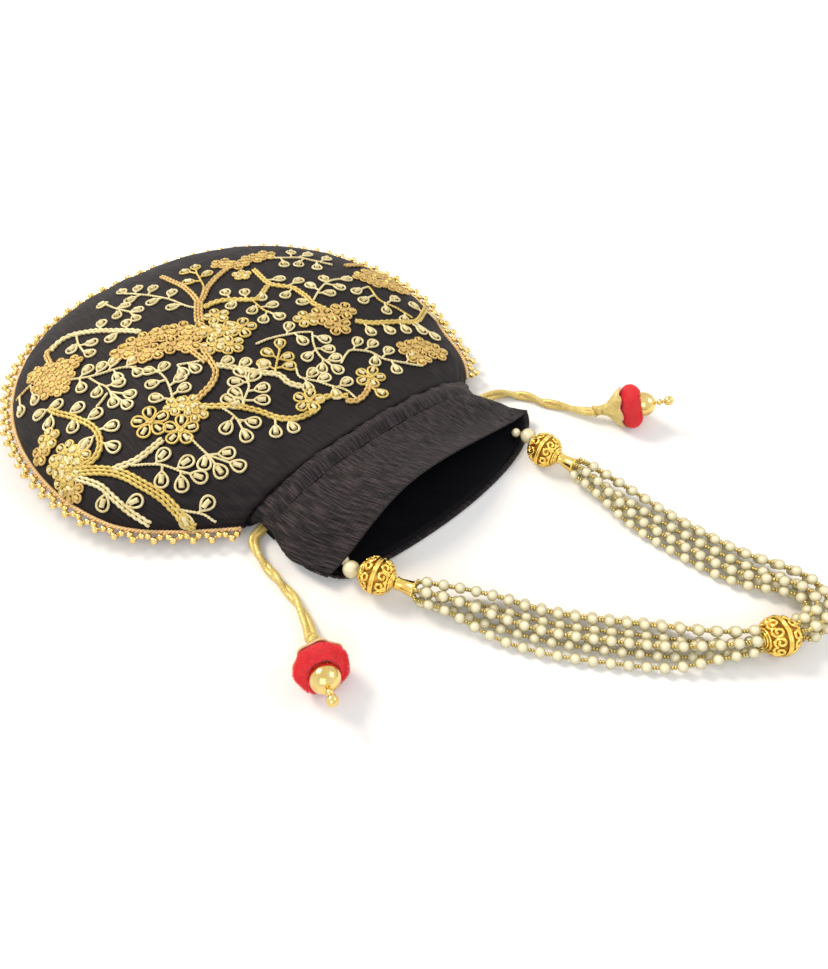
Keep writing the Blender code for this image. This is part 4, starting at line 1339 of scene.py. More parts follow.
SPRIGS = (
    Sprig("top_left_sprig",
          ((198, 310), (186, 307), (171, 301), (157, 298), (143, 296), (125, 295)),
          ((153, 290), (153, 303), (172, 294), (173, 308), (138, 290), (131, 301), (123, 293))),
    Sprig("top_left_tip", ((105, 305), (114, 309), (125, 312), (134, 314)),
          ((103, 306), (118, 316), (125, 307), (136, 319), (138, 311)), leaf=0.006),
    Sprig("top_trunk", ((200, 324), (199, 317), (199, 309), (199, 303)), (), Tone.BRONZE,
          width=0.0034),
    Sprig("top_trunk_left", ((199, 304), (193, 296), (182, 287), (171, 282), (162, 278)), (),
          Tone.BRONZE, width=0.003),
    Sprig("top_trunk_middle", ((200, 302), (204, 289), (200, 280), (196, 273)),
          ((189, 283), (207, 275), (196, 269), (186, 273)), Tone.YELLOW, Tone.YELLOW),
    Sprig("top_trunk_right", ((202, 302), (211, 285), (221, 275), (230, 268)), (), Tone.BRONZE,
          width=0.0028),
    Sprig("top_branch",
          ((254, 271), (268, 284), (279, 287), (293, 289), (304, 296), (314, 305), (325, 310)),
          ((279, 280), (298, 282), (286, 296)), Tone.YELLOW, width=0.0022),
    Sprig("top_branch_left",
          ((268, 287), (259, 299), (252, 301), (241, 301), (229, 301), (214, 304), (204, 309)),
          ((226, 294), (232, 306), (245, 294), (262, 298)), Tone.YELLOW, width=0.0016),
    Sprig("top_branch_fork", ((252, 301), (262, 310), (271, 314)),
          ((253, 311), (264, 320), (272, 306), (279, 317)), Tone.YELLOW),
    Sprig("far_edge_sprig", ((268, 259), (286, 259), (300, 259), (314, 262), (332, 266)),
          ((284, 265), (299, 265), (307, 256), (317, 268), (326, 260), (291, 254))),
    Sprig("far_upright", ((312, 303), (314, 300), (321, 289), (330, 282), (343, 280)),
          ((311, 287), (324, 280), (329, 294), (339, 288), (346, 280), (303, 303))),
    Sprig("right_bar",
          ((355, 322), (370, 324), (396, 323), (414, 323), (421, 317), (427, 307)),
          ((370, 332), (389, 331), (405, 330), (414, 307), (432, 317), (421, 331), (434, 337)),
          Tone.YELLOW, width=0.0026),
    Sprig("far_right_bar", ((345, 267), (362, 267)), (), Tone.BRONZE, width=0.0024),
    Sprig("far_right_sprig",
          ((368, 288), (371, 291), (379, 301), (396, 309), (412, 319)),
          ((357, 292), (364, 301), (394, 300), (386, 311), (404, 320)), Tone.YELLOW),
    Sprig("middle_arc", ((256, 345), (268, 340), (280, 337), (296, 334), (311, 333)),
          ((289, 328), (302, 341))),
    Sprig("middle_fall", ((312, 333), (313, 343), (317, 353), (323, 360), (330, 364)),
          ((324, 340), (328, 350), (308, 357), (335, 359), (322, 369), (337, 370))),
    Sprig("right_sprig",
          ((341, 364), (346, 355), (352, 351), (370, 353), (384, 360), (405, 364), (423, 367)),
          ((357, 343), (372, 345), (375, 362), (388, 352), (396, 370), (411, 357))),
    Sprig("right_flower_stem", ((370, 384), (366, 394), (358, 401), (346, 402)),
          ((381, 394),), Tone.BRONZE, Tone.YELLOW, width=0.0018),
    Sprig("middle_low_sprig",
          ((296, 369), (300, 378), (316, 382), (332, 387), (346, 391), (357, 400)),
          ((312, 374), (324, 379), (346, 383), (336, 395), (308, 388))),
    Sprig("middle_branch",
          ((216, 366), (236, 369), (259, 373), (279, 376), (289, 384), (304, 388)),
          ((227, 362), (245, 364), (264, 366)), Tone.CREAM, width=0.0024),
    Sprig("middle_upright", ((275, 374), (277, 362), (280, 350)),
          ((280, 345), (268, 354), (287, 358), (264, 365), (289, 367)), Tone.YELLOW,
          Tone.YELLOW),
    Sprig("low_fan", ((241, 408), (246, 396), (249, 386), (245, 376)),
          ((241, 373), (254, 377), (236, 383), (236, 394), (262, 389), (262, 401), (229, 401)),
          Tone.CREAM, leaf=0.0072),
    Sprig("low_chain", ((316, 402), (330, 397), (348, 397)), (), Tone.YELLOW, width=0.0024),
    Sprig("low_branch",
          ((200, 407), (218, 407), (236, 407), (259, 412), (279, 419), (298, 419), (316, 411)),
          ((276, 432), (293, 428)), Tone.YELLOW, width=0.0032),
    Sprig("low_fork", ((221, 408), (232, 415), (241, 424)),
          ((227, 428), (253, 423), (246, 436), (236, 405)), leaf=0.0072),
    Sprig("left_branch",
          ((141, 333), (128, 332), (114, 332), (89, 333), (71, 337), (59, 344), (52, 352)),
          ((102, 325), (127, 325), (112, 339)), Tone.CREAM, width=0.0030),
    Sprig("left_hang", ((77, 336), (79, 345), (85, 354)),
          ((73, 350), (92, 344), (90, 354))),
    Sprig("left_hook", ((56, 347), (48, 355), (52, 366)), (), Tone.BRONZE, width=0.0026),
    Sprig("left_stem", ((34, 384), (26, 392), (18, 401)), ((36, 400), (22, 411)), Tone.BRONZE),
    Sprig("left_sprig_upper", ((70, 381), (89, 378), (107, 373), (121, 369), (137, 368)),
          ((82, 388), (102, 368), (118, 378), (114, 363), (133, 362), (138, 373), (88, 371))),
    Sprig("left_sprig_lower", ((90, 379), (98, 384), (107, 388), (113, 396)),
          ((98, 393), (119, 384), (114, 403), (130, 395), (127, 405))),
    Sprig("left_arc",
          ((50, 410), (59, 414), (71, 417), (86, 423), (96, 430), (101, 444), (96, 458),
           (82, 468)),
          ((41, 415), (50, 424), (57, 406), (78, 409), (74, 427), (96, 415), (112, 427),
           (87, 444), (113, 447)), Tone.YELLOW, width=0.0018, leaf=0.0072),
    Sprig("left_link", ((97, 408), (103, 401), (108, 394)), ()),
    Sprig("near_trunk",
          ((62, 477), (80, 472), (100, 471), (121, 474), (143, 485), (161, 496), (176, 510),
           (187, 523), (195, 527)), (), Tone.YELLOW, width=0.0040),
    Sprig("near_branch",
          ((77, 478), (100, 486), (114, 498), (129, 511), (150, 524)),
          ((104, 503), (135, 502)), Tone.CREAM, width=0.0028, leaf=0.0074),
    Sprig("near_twin", ((114, 470), (136, 461), (150, 451), (163, 440)), (), Tone.CREAM,
          width=0.0028),
    Sprig("near_sprig", ((132, 466), (157, 465), (171, 468), (186, 474)),
          ((163, 456), (162, 480), (186, 463), (182, 484), (199, 477)), leaf=0.0074),
    Sprig("near_neck_sprig", ((172, 508), (187, 511), (202, 514), (216, 521)),
          ((207, 504), (186, 521)), leaf=0.0074),
    Sprig("near_stem_right", ((189, 437), (202, 450), (212, 459)),
          ((227, 454), (220, 471), (238, 466), (205, 463)), leaf=0.0074),
    Sprig("centre_sprig", ((176, 405), (173, 400), (171, 391), (166, 380), (157, 371)),
          ((150, 372), (164, 368), (153, 385), (180, 379), (184, 389), (157, 399))),
    Sprig("centre_stem", ((178, 366), (190, 364), (205, 361)), ((183, 373), (195, 369))),
    Sprig("centre_trunk",
          ((203, 350), (211, 362), (216, 373), (211, 386), (196, 401)), (), Tone.BRONZE,
          width=0.0032),
    Sprig("centre_trunk_left", ((184, 346), (196, 355), (206, 363)), (), Tone.BRONZE,
          width=0.0024),
)

BLOSSOMS = (
    Blossoms("far_cluster", ((222, 265), (238, 266), (253, 260), (265, 257)), Tone.BRONZE,
             0.0068),
    Blossoms("far_pair", ((242, 276),), Tone.YELLOW, 0.0056),
    Blossoms("right_cluster", ((322, 317), (343, 312), (338, 327)), Tone.BRONZE, 0.0074),
    Blossoms("right_first", ((306, 320),), Tone.YELLOW, 0.0068),
    Blossoms("far_right_cluster",
             ((363, 278), (377, 284), (371, 275), (385, 279), (391, 287), (399, 290)),
             Tone.BRONZE, 0.0066),
    Blossoms("near_right_cluster", ((408, 350), (421, 346), (419, 359), (436, 353)),
             Tone.BRONZE, 0.0068),
    Blossoms("right_flower", ((370, 378),), Tone.YELLOW, 0.0078),
    Blossoms("low_flower", ((309, 402),), Tone.YELLOW, 0.0078),
    Blossoms("centre_flower", ((241, 329),), Tone.YELLOW, 0.0082),
    Blossoms("centre_cluster_right",
             ((217, 318), (226, 331), (211, 333), (231, 346), (214, 347)), Tone.YELLOW,
             0.0070),
    Blossoms("centre_cluster_middle", ((197, 332), (181, 331), (190, 345), (174, 346)),
             Tone.BRONZE, 0.0070),
    Blossoms("centre_cluster_left",
             ((162, 335), (148, 340), (134, 346), (123, 354), (154, 353), (140, 357)),
             Tone.BRONZE, 0.0066),
    Blossoms("left_cluster",
             ((36, 376), (47, 371), (60, 367), (74, 364), (41, 386), (55, 381), (67, 377),
              (49, 392), (62, 389)), Tone.BRONZE, 0.0056),
    Blossoms("left_low_cluster",
             ((50, 440), (67, 453), (58, 466), (80, 455), (72, 470), (66, 484)), Tone.YELLOW,
             0.0064),
    Blossoms("left_low_dark", ((42, 455), (74, 492)), Tone.BRONZE, 0.0060),
    Blossoms("near_flower_left", ((151, 423),), Tone.YELLOW, 0.0090),
    Blossoms("near_flower_right", ((181, 431),), Tone.YELLOW, 0.0084),
    Blossoms("near_small_cluster", ((189, 405), (176, 407), (197, 413)), Tone.YELLOW, 0.0060),
)


@dataclass
class Embroidery:
    """Couched gold thread on the front panel: looped leaves, flowers and corded branches."""

    cloth: BVHTree
    thread: float = 0.00060
    inner_thread: float = 0.00122
    petal_thread: float = 0.00058
    step: float = 0.0009
    lift: float = 0.0002
    # How much of a thread's radius keeps its middle over the cloth
    laid_share: float = 0.75
    loop_swell: float = 1.15
    # The fat stitch in a loop: its start and the step between its points, as shares of it
    fill_points: int = 5
    leaf_fill: tuple[float, float] = (0.24, 0.13)
    petal_fill: tuple[float, float] = (0.35, 0.12)
    # A leaf as a share of its length, and the thread that ties it to its stem
    leaf_width: float = 0.84
    root_clear: float = 0.2
    root_back: int = 3
    far_root_back: int = 7
    shortest_link: float = 0.001
    # Stems: the space between their points, and the twist of the thin ones in thread widths
    stem_step: float = 0.0008
    stem_fineness: int = 120
    twist_thread: float = 0.30
    twist_rise: float = 1.5
    twist_orbit: float = 0.6
    twist_pitch: float = 3.6
    # A stem from corded_width on has a cord for each 1.3 mm of its width, 1.6 mm apart
    corded_width: float = 0.0016
    bar_share: float = 0.0013
    bar_pitch: float = 0.0016
    bar_thread: float = 0.00080
    bar_wave: float = 0.00022
    bar_rest: float = 0.9
    bar_sway: float = 0.3
    stitch_pitch: float = 0.0030
    # Flowers: petals, and the coiled knot in their middle
    petal_share: float = 3.4
    petal_inner: float = 0.00098
    petal_root: float = 0.14
    flower_turn: float = 40.0
    flower_rise: float = 0.0003
    flower_ripple: float = 900.0
    coil_points: int = 15
    coil_turn: float = 0.9
    coil_start: float = 0.0004
    coil_growth: float = 0.00009
    coil_lift: float = 0.0005
    routes: dict[Tone, list[Route]] = field(default_factory=lambda: {tone: [] for tone in Tone})
    sizes: dict[Tone, list[float]] = field(default_factory=lambda: {tone: [] for tone in Tone})

    def build(self) -> None:
        """Sews every motif and makes one piece of each thread."""
        for sprig in SPRIGS:
            self.sprig(sprig)
        for blossoms in BLOSSOMS:
            for centre in blossoms.centres:
                self.flower(self.spot(centre), blossoms)
            LOG.debug("%s is sewn", blossoms.name)
        for tone in Tone:
            radii = [[size] * len(route)
                     for size, route in zip(self.sizes[tone], self.routes[tone])]
            mesh = MAKER.wire_mesh(self.routes[tone], self.thread, tone.value, 1, radii)
            name = f"embroidery_{tone.name.lower()}_thread"
            MAKER.piece(name, mesh, tone.value, "bag")

    def spot(self, pixel: Pixel) -> Vector:
        """The place on the cloth that a pixel of the photograph shows."""
        way = CAMERA.ray(pixel)
        place, _, _, _ = self.cloth.ray_cast(CAMERA.position, way)
        if place is not None:
            return place
        level = (FORM.seam_z - CAMERA.position.z) / way.z
        place, _, _, _ = self.cloth.find_nearest(CAMERA.position + way * level)
        return place

    def frame_at(self, place: Vector) -> tuple[Vector, Vector]:
        """The nearest point of the cloth and the direction out of it."""
        point, normal, _, _ = self.cloth.find_nearest(place)
        return point, normal

    def lay(self, points: Route, radius: float, rise: float) -> Route:
        """Presses a route on the cloth, so that a thread of that radius lies on it."""
        laid = []
        for point in points:
            place, normal = self.frame_at(point)
            laid.append(place + normal * (self.laid_share * radius + rise))
        return laid

    def sew(self, route: Route, tone: Tone, radius: float) -> None:
        """Keeps one laid thread for its tone."""
        self.routes[tone].append(route)
        self.sizes[tone].append(radius)

    def loop(self, base: Vector, tip: Vector, width: float, rise: float) -> Route:
        """A drop-shaped loop that starts and ends at its pointed base, laid on the cloth."""
        _, normal = self.frame_at(base.lerp(tip, 0.5))
        along = tip - base
        side = normal.cross(along).normalized()
        count = max(10, round(2.4 * along.length / self.step))
        points = []
        for index in range(count + 1):
            turn = FULL_TURN * index / count
            reach = 0.5 - 0.5 * math.cos(turn)
            swing = math.sin(turn) * abs(math.sin(0.5 * turn)) ** 0.8
            points.append(base + along * reach + side * (0.5 * width * self.loop_swell * swing))
        return self.lay(points, self.thread, rise)

    def fill(self, base: Vector, tip: Vector, shares: tuple[float, float], radius: float,
             rise: float, tone: Tone) -> None:
        """Sews a fat stitch along the middle of a loop, in the next lighter thread."""
        start, step = shares
        inner = [base.lerp(tip, start + step * index) for index in range(self.fill_points)]
        self.sew(self.lay(inner, radius, rise), self.lighter(tone), radius)

    def leaf(self, sprig: Sprig, stem: Route, pixel: Pixel) -> None:
        """A looped leaf with a fat inner stitch, tied to the nearest point of its stem."""
        middle = self.spot(pixel)
        nearest = min(range(len(stem)), key=lambda index: (stem[index] - middle).length)
        root = stem[max(0, nearest - self.root_back)]
        if (root - middle).length < self.root_clear * sprig.leaf:
            root = stem[max(0, nearest - self.far_root_back)]
        way = (middle - root).normalized()
        base = middle - way * 0.5 * sprig.leaf
        tip = middle + way * 0.5 * sprig.leaf
        size = self.leaf_width * sprig.leaf
        self.sew(self.loop(base, tip, size, self.lift), sprig.leaf_tone, self.thread)
        self.fill(base, tip, self.leaf_fill, self.inner_thread, self.lift, sprig.leaf_tone)
        if (base - root).length > self.shortest_link:
            link = [root.lerp(base, index / 4.0) for index in range(5)]
            self.sew(self.lay(link, self.thread, self.lift), sprig.leaf_tone, self.thread)

    def sprig(self, sprig: Sprig) -> None:
        """A stem and its leaves."""
        corners = [self.spot(pixel) for pixel in sprig.stem]
        if len(corners) == 2:
            corners.insert(1, corners[0].lerp(corners[1], 0.5))
        stem = smooth_route(corners, self.stem_step, self.stem_fineness)
        laid = []
        normals = []
        for point in stem:
            place, normal = self.frame_at(point)
            laid.append(place)
            normals.append(normal)
        if sprig.width >= self.corded_width:
            radius = self.bar_thread
            threads = self.bars(laid, normals, sprig.width)
        else:
            radius = self.twist_thread * sprig.width
            base = [place + normal * self.twist_rise * radius
                    for place, normal in zip(laid, normals)]
            threads = CORDS.plies(base, 2, self.twist_orbit * radius,
                                  self.twist_pitch * radius * 2.0, normals)
        for thread in threads:
            self.sew(thread, sprig.tone, radius)
        for pixel in sprig.leaves:
            self.leaf(sprig, laid, pixel)
        LOG.debug("%s is sewn", sprig.name)

    def lighter(self, tone: Tone) -> Tone:
        """The next lighter thread, for the stitches that fill a loop."""
        return {Tone.BRONZE: Tone.YELLOW}.get(tone, Tone.CREAM)

    def bars(self, laid: Route, normals: Route, width: float) -> list[Route]:
        """The parallel cords of a branch, drawn together and apart by their stitches.

        Args:
            laid: the branch's middle line on the cloth.
            normals: the direction out of the cloth at each of its points.
            width: the width of the branch.

        Returns:
            One route for each cord.
        """
        count = max(2, round(width / self.bar_share))
        threads: list[Route] = [[] for _ in range(count)]
        for index, (point, travelled) in enumerate(zip(laid, distances(laid))):
            side = heading_at(laid, index).cross(normals[index])
            turn = FULL_TURN * travelled / self.stitch_pitch
            for number in range(count):
                offset = (number - 0.5 * (count - 1)) * self.bar_pitch
                wave = self.bar_wave * math.sin(turn + math.pi * number)
                sway = self.bar_sway * math.cos(turn + math.pi * number)
                rise = self.bar_thread * (self.bar_rest + sway)
                threads[number].append(point + (offset + wave) * side + rise * normals[index])
        return threads

    def flower(self, centre: Vector, blossoms: Blossoms) -> None:
        """Petal loops round a small coiled knot."""
        _, normal = self.frame_at(centre)
        first = normal.cross(Vector((0.0, 1.0, 0.0))).normalized()
        start = self.flower_turn * (centre.x + centre.y)
        uneven = ripple(centre.x * self.flower_ripple, centre.y * self.flower_ripple, 3.0)
        rise = self.flower_rise + self.flower_rise * uneven
        for number in range(blossoms.petals):
            turn = Matrix.Rotation(start + FULL_TURN * number / blossoms.petals, 3, normal)
            way = turn @ first
            base = centre + way * self.petal_root * blossoms.radius
            tip = centre + way * (blossoms.radius - self.petal_thread)
            width = self.petal_share * blossoms.radius / blossoms.petals
            self.sew(self.loop(base, tip, width, rise), blossoms.tone, self.petal_thread)
            self.fill(base, tip, self.petal_fill, self.petal_inner, rise, blossoms.tone)
        coil = []
        side = normal.cross(first)
        for index in range(self.coil_points):
            turn = self.coil_turn * index
            reach = self.coil_start + self.coil_growth * index
            coil.append(centre + first * (reach * math.cos(turn))
                        + side * (reach * math.sin(turn)))
        self.sew(self.lay(coil, self.petal_thread, rise + self.coil_lift), blossoms.tone,
                 self.petal_thread)


# Beaded edge

@dataclass
class BeadedEdge:
    """Gold beads sewn in small points along the side seam, and the cord beside them."""

    trim_end: float = 0.0035
    steps: int = 240
    cord_radius: float = 0.00058
    cord_orbit: float = 0.00052
    cord_pitch: float = 0.0034
    cord_out: float = 0.0009
    bead: float = 0.0017
    inner_bead: float = 0.0015
    pitch: float = 0.0080
    depth: float = 0.0032
    root: float = 0.0024
    # Sewn by hand: a bead stands up to about half a millimetre out of line
    wobble_out: float = 0.0005
    wobble_up: float = 0.0006
    sewing_thread: float = 0.00058

    def outline(self) -> tuple[Route, Route]:
        """The seam line from the left neck round to the right one, and its outward way."""
        seam = []
        for hand in (-1.0, 1.0):
            half = []
            for step in range(self.steps + 1):
                share = math.sin(0.5 * math.pi * step / self.steps)
                y = mix(FORM.neck_y + self.trim_end, FORM.above, share)
                x = FORM.shift(y) + hand * FORM.outline(y)
                half.append(Vector((x, y, FORM.seam(min(y, 0.0)))))
            seam += half if hand < 0.0 else half[-2::-1]
        seam = resample(seam, 0.0007)
        outward = []
        for index in range(len(seam)):
            way = seam[min(index + 3, len(seam) - 1)] - seam[max(index - 3, 0)]
            outward.append(Vector((-way.y, way.x, 0.0)).normalized())
        return seam, outward

    def build(self) -> None:
        """Makes the seam cord and the beads."""
        seam, outward = self.outline()
        middle = [point + way * self.cord_out for point, way in zip(seam, outward)]
        cord = CORDS.plies(resample(middle, 0.0006), 2, self.cord_orbit, self.cord_pitch)
        mesh = MAKER.wire_mesh(cord, self.cord_radius, ORANGE_ZARI, 1)
        MAKER.piece("seam_cord", mesh, ORANGE_ZARI, "bag", ["seam_piping"])
        self.build_beads(seam, outward)

    def build_beads(self, seam: Route, outward: Route) -> None:
        """The zigzag of beads with its sewing thread."""
        length = route_length(seam)
        points = round(length / self.pitch)
        mesh = bmesh.new()
        thread: Route = []
        plan = ((0.0, -0.3 * self.depth, 0.0), (0.19, 0.34 * self.depth, self.inner_bead),
                (0.5, self.depth, self.bead), (0.81, 0.34 * self.depth, self.inner_bead))
        for number in range(points):
            for share, out, radius in plan:
                place = (number + share) / points * (len(seam) - 1)
                index = min(int(place), len(seam) - 1)
                wobble = self.wobble_out * ripple(number * 3.1, share * 7.0, 9.0)
                spot = seam[index] + outward[index] * (self.root + out + wobble)
                spot.z += self.wobble_up * ripple(number * 5.3, share * 9.0, 10.0)
                thread.append(spot)
                if radius > 0.0:
                    add_sphere(mesh, spot, radius, 14, 9, outward[index])
        MAKER.join(mesh, MAKER.wire_mesh([thread], self.sewing_thread, ORANGE_ZARI, 0), 1)
        beads = MAKER.piece("edge_beads", mesh, PLATED_BEAD, "bag", ["beaded_edge"])
        beads.data.materials.append(ORANGE_ZARI.material())


# Handle

@dataclass(frozen=True)
class HandleHalf:
    """One side of the handle, as in the CAD.

    The hand is 1 on the left and -1 on the right. The strands' spreads, and their lifts over
    the layer that lies on the table, are in metres. The spans are the shares of the way in
    which they spread, where they start to close up and where they are gathered again.
    """

    side: Side
    hand: float
    pearl_x: float
    ball_heading: Vector
    cap_heading: Vector
    steps: int
    crowding: float
    spans: tuple[float, float, float]
    spreads: tuple[float, ...]
    lifts: tuple[float, ...]
    middles: tuple[tuple[float, float, float], ...]


HALVES = (
    HandleHalf(
        Side.LEFT, 1.0, pearl_x=-0.0415, ball_heading=Vector((0.37, -0.905, 0.20)),
        cap_heading=Vector((0.39, -0.92, -0.06)), steps=12, crowding=1.0,
        spans=(0.30, 0.70, 1.0),
        spreads=(-0.0112, -0.0057, -0.00355, -0.0014, 0.0029, 0.0058, 0.0087),
        lifts=(0.0, 0.0, 0.0035, 0.0, 0.0, 0.0029, 0.0),
        middles=((-0.0163, -0.1790, 0.0060), (-0.0011, -0.2068, 0.0054),
                 (0.0187, -0.2330, 0.0054), (0.0370, -0.2560, 0.0070))),
    HandleHalf(
        Side.RIGHT, -1.0, pearl_x=0.0710, ball_heading=Vector((-0.20, -0.975, 0.070)),
        cap_heading=Vector((0.10, -0.995, 0.0)), steps=17, crowding=1.4,
        spans=(0.30, 0.55, 0.90),
        spreads=(-0.0088, -0.0030, -0.0059, 0.0, 0.0030, 0.0059, 0.0088),
        lifts=(0.0, 0.0, 0.0028, 0.0028, 0.0, 0.0028, 0.0),
        middles=((0.0726, -0.1919, 0.0058), (0.0750, -0.2205, 0.0052),
                 (0.0785, -0.2430, 0.0056), (0.0836, -0.2595, 0.0068),
                 (0.0826, -0.2705, 0.0078), (0.0745, -0.2770, 0.0080))),
)

# The seven strands' places in a gathered bundle, in strand pitches across and up
BUNDLE = ((-1.0, 0.0), (-0.5, -0.87), (-0.5, 0.87), (0.0, 0.0), (0.5, -0.87), (0.5, 0.87),
          (1.0, 0.0))


@dataclass(frozen=True)
class PearlHandle:
    """Pearl strands between pierced balls, held by an end pearl in each corner of the mouth."""

    pivot_y: float = -0.1316
    pivot_z: float = 0.0072
    end_pearl: float = 0.0038
    ball: float = 0.0080
    bore: float = 0.0016
    middle_ball: Vector = Vector((0.0553, -0.2703, 0.0080))
    middle_heading: Vector = Vector((0.86, -0.51, 0.0))
    cap_length: float = 0.0082
    cap_small: float = 0.0026
    cap_large: float = 0.0033
    strand_radius: float = 0.0019
    strand_pitch: float = 0.0045
    start_gap: float = 0.0012
    gap: float = 0.0003
    route_step: float = 0.02
    fall_lag_in: float = 0.06
    fall_lag_out: float = 0.1
    cord_lift: float = 0.0001
    pearl: float = 0.00225
    pearl_pitch: float = 0.00675
    pearl_stretch: float = 0.97
    seed: float = 0.00098
    seed_stretch: float = 0.62
    seed_shares: tuple[float, float] = (0.415, 0.585)
    end_seed_pitch: float = 0.0012
    bead_thread: float = 0.00032
    # The stopper lies inside the mouth, 1.5 mm nearer to its middle than the end pearl
    stopper: float = 0.0022
    stopper_in: float = 0.0015
    stopper_back: float = 0.0064
    stopper_z: float = 0.0060
    # How deep the gathered threads start in a cap and in the middle ball
    cap_mouth: float = 0.0015
    ball_mouth: float = 0.0004
    gather_shares: tuple[float, ...] = (0.28, 0.52, 0.76, 1.0)
    # Balls: the wire, the grains and the rings, by their latitude in radians
    wire: float = 0.00062
    wire_sunk: float = 0.8
    grain: float = 0.0008
    grain_latitude: float = 0.80
    grains: int = 10
    core_depth: float = 0.0008
    waist_rings: tuple[float, float] = (0.055, -0.055)
    bore_rings: tuple[float, ...] = (1.30, -1.30, 1.16, -1.16, 1.0, -1.0)
    # Scrolls: five pairs on each half, wound inwards round a centre beside the pair's middle
    scroll_pairs: int = 5
    scroll_points: int = 25
    scroll_turn: float = 0.36
    scroll_reach: float = 0.36
    scroll_shrink: float = 0.034
    scroll_aside: float = 0.31
    scroll_lean: float = 1.2
    scroll_latitude: float = 0.50
    scroll_narrow: float = 0.85

    def places(self, half: HandleHalf) -> tuple[Vector, Vector, Vector, Vector]:
        """The end pearl, the ball, the cap's start and the cap's heading on one side."""
        pearl = Vector((half.pearl_x, self.pivot_y, self.pivot_z))
        reach = self.end_pearl + self.ball + self.gap
        ball = pearl + reach * half.ball_heading.normalized()
        heading = half.cap_heading.normalized()
        return pearl, ball, ball + (self.ball + self.gap) * heading, heading

    def bundle(self, half: HandleHalf) -> Route:
        """The middle line of one side's strands, from its cap to the middle ball."""
        _, _, cap, heading = self.places(half)
        start = cap + (self.cap_length + self.start_gap) * heading
        way = half.hand * self.middle_heading.normalized()
        end = self.middle_ball - (self.ball + self.start_gap) * way
        middles = [Vector(place) for place in half.middles]
        return smooth_route([start] + middles + [end], 0.002)

    def strand_route(self, half: HandleHalf, number: int, line: Route) -> Route:
        """The points that one strand follows, as in the CAD."""
        spread_in, spread_out, spread_end = half.spans
        bundle_across, bundle_up = BUNDLE[number]
        route = []
        for step in range(half.steps + 1):
            share = 1.0 - (1.0 - step / half.steps) ** half.crowding
            here = catmull(line, share)
            ahead = (catmull(line, min(1.0, share + self.route_step))
                     - catmull(line, max(0.0, share - self.route_step)))
            across = half.hand * Vector((-ahead.y, ahead.x, 0.0)).normalized()
            run_out = (spread_end - share) / (spread_end - spread_out)
            loose = smooth(share / spread_in) * smooth(run_out)
            fallen = (smooth((share - self.fall_lag_in) / spread_in)
                      * smooth(run_out - self.fall_lag_out))
            offset = mix(bundle_across * self.strand_pitch, half.spreads[number], loose)
            height = mix(here.z + bundle_up * self.strand_pitch,
                         self.strand_radius + self.cord_lift + half.lifts[number], fallen)
            route.append(Vector((here.x, here.y, 0.0)) + across * offset
                         + Vector((0.0, 0.0, height)))
        return route

    def build(self) -> None:
        """Makes every piece of the handle."""
        for half in HALVES:
            self.build_strands(half)
        for half in HALVES:
            self.build_end(half)
        self.build_ball("filigree_ball_middle", "pierced_ball_middle", self.middle_ball,
                        self.middle_heading)

    def build_strands(self, half: HandleHalf) -> None:
        """The seven strands of one side, each a string of pearls and seed beads."""
        line = self.bundle(half)
        side = half.side.value
        for number in range(1, len(BUNDLE) + 1):
            path = smooth_route(self.strand_route(half, number - 1, line), 0.0015)
            obj = self.string_pearls(f"pearls_{side}_{number}", path, number,
                                     f"pearl_strand_{side}_{number}")

    def string_pearls(self, name: str, path: Route, number: int, node: str) -> Object:
        """Threads pearls with two seed beads between each pair along a path."""
        seeds = MAKER.wire_mesh([path], self.bead_thread, SEED_BEAD, 0)
        pearls = bmesh.new()
        length = route_length(path)
        count = int((length - 2.0 * self.pearl) / self.pearl_pitch)
        margin = 0.5 * (length - count * self.pearl_pitch)
        shift = 0.4 * margin * math.sin(2.4 * number)
        fine = resample(path, 0.0004)
        for index in range(count + 1):
            start = margin + shift + index * self.pearl_pitch
            self.thread_pearl(pearls, fine, length, start)
            if index == count:
                break
            for share in self.seed_shares:
                self.thread_seed(seeds, fine, length, start + share * self.pearl_pitch)
        first = margin + shift - self.pearl
        last = length - (margin + shift + count * self.pearl_pitch + self.pearl)
        for free, edge, way in ((first, first, -1.0), (last, length - last, 1.0)):
            for index in range(int(free / self.end_seed_pitch)):
                self.thread_seed(seeds, fine, length,
                                 edge + way * (index + 0.5) * self.end_seed_pitch)
        MAKER.join(pearls, seeds, 1)
        obj = MAKER.piece(name, pearls, PEARL, "handle", [node])
        obj.data.materials.append(SEED_BEAD.material())
        return obj

    def place_on(self, path: Route, length: float, travelled: float) -> tuple[Vector, Vector]:
        """The point at a distance along a path, and the direction there."""
        place = min(max(travelled / length, 0.0), 1.0) * (len(path) - 1)
        index = min(int(place), len(path) - 2)
        return path[index].lerp(path[index + 1], place - index), heading_at(path, index)

    def thread_pearl(self, mesh: Mesh, path: Route, length: float, travelled: float) -> None:
        """Adds one pearl to a strand at a distance along its path."""
        spot, heading = self.place_on(path, length, travelled)
        add_sphere(mesh, spot, self.pearl, 14, 9, heading, self.pearl_stretch)

    def thread_seed(self, mesh: Mesh, path: Route, length: float, travelled: float) -> None:
        """Adds one seed bead to a strand at a distance along its path."""
        spot, heading = self.place_on(path, length, travelled)
        add_sphere(mesh, spot, self.seed, 8, 5, heading, self.seed_stretch)

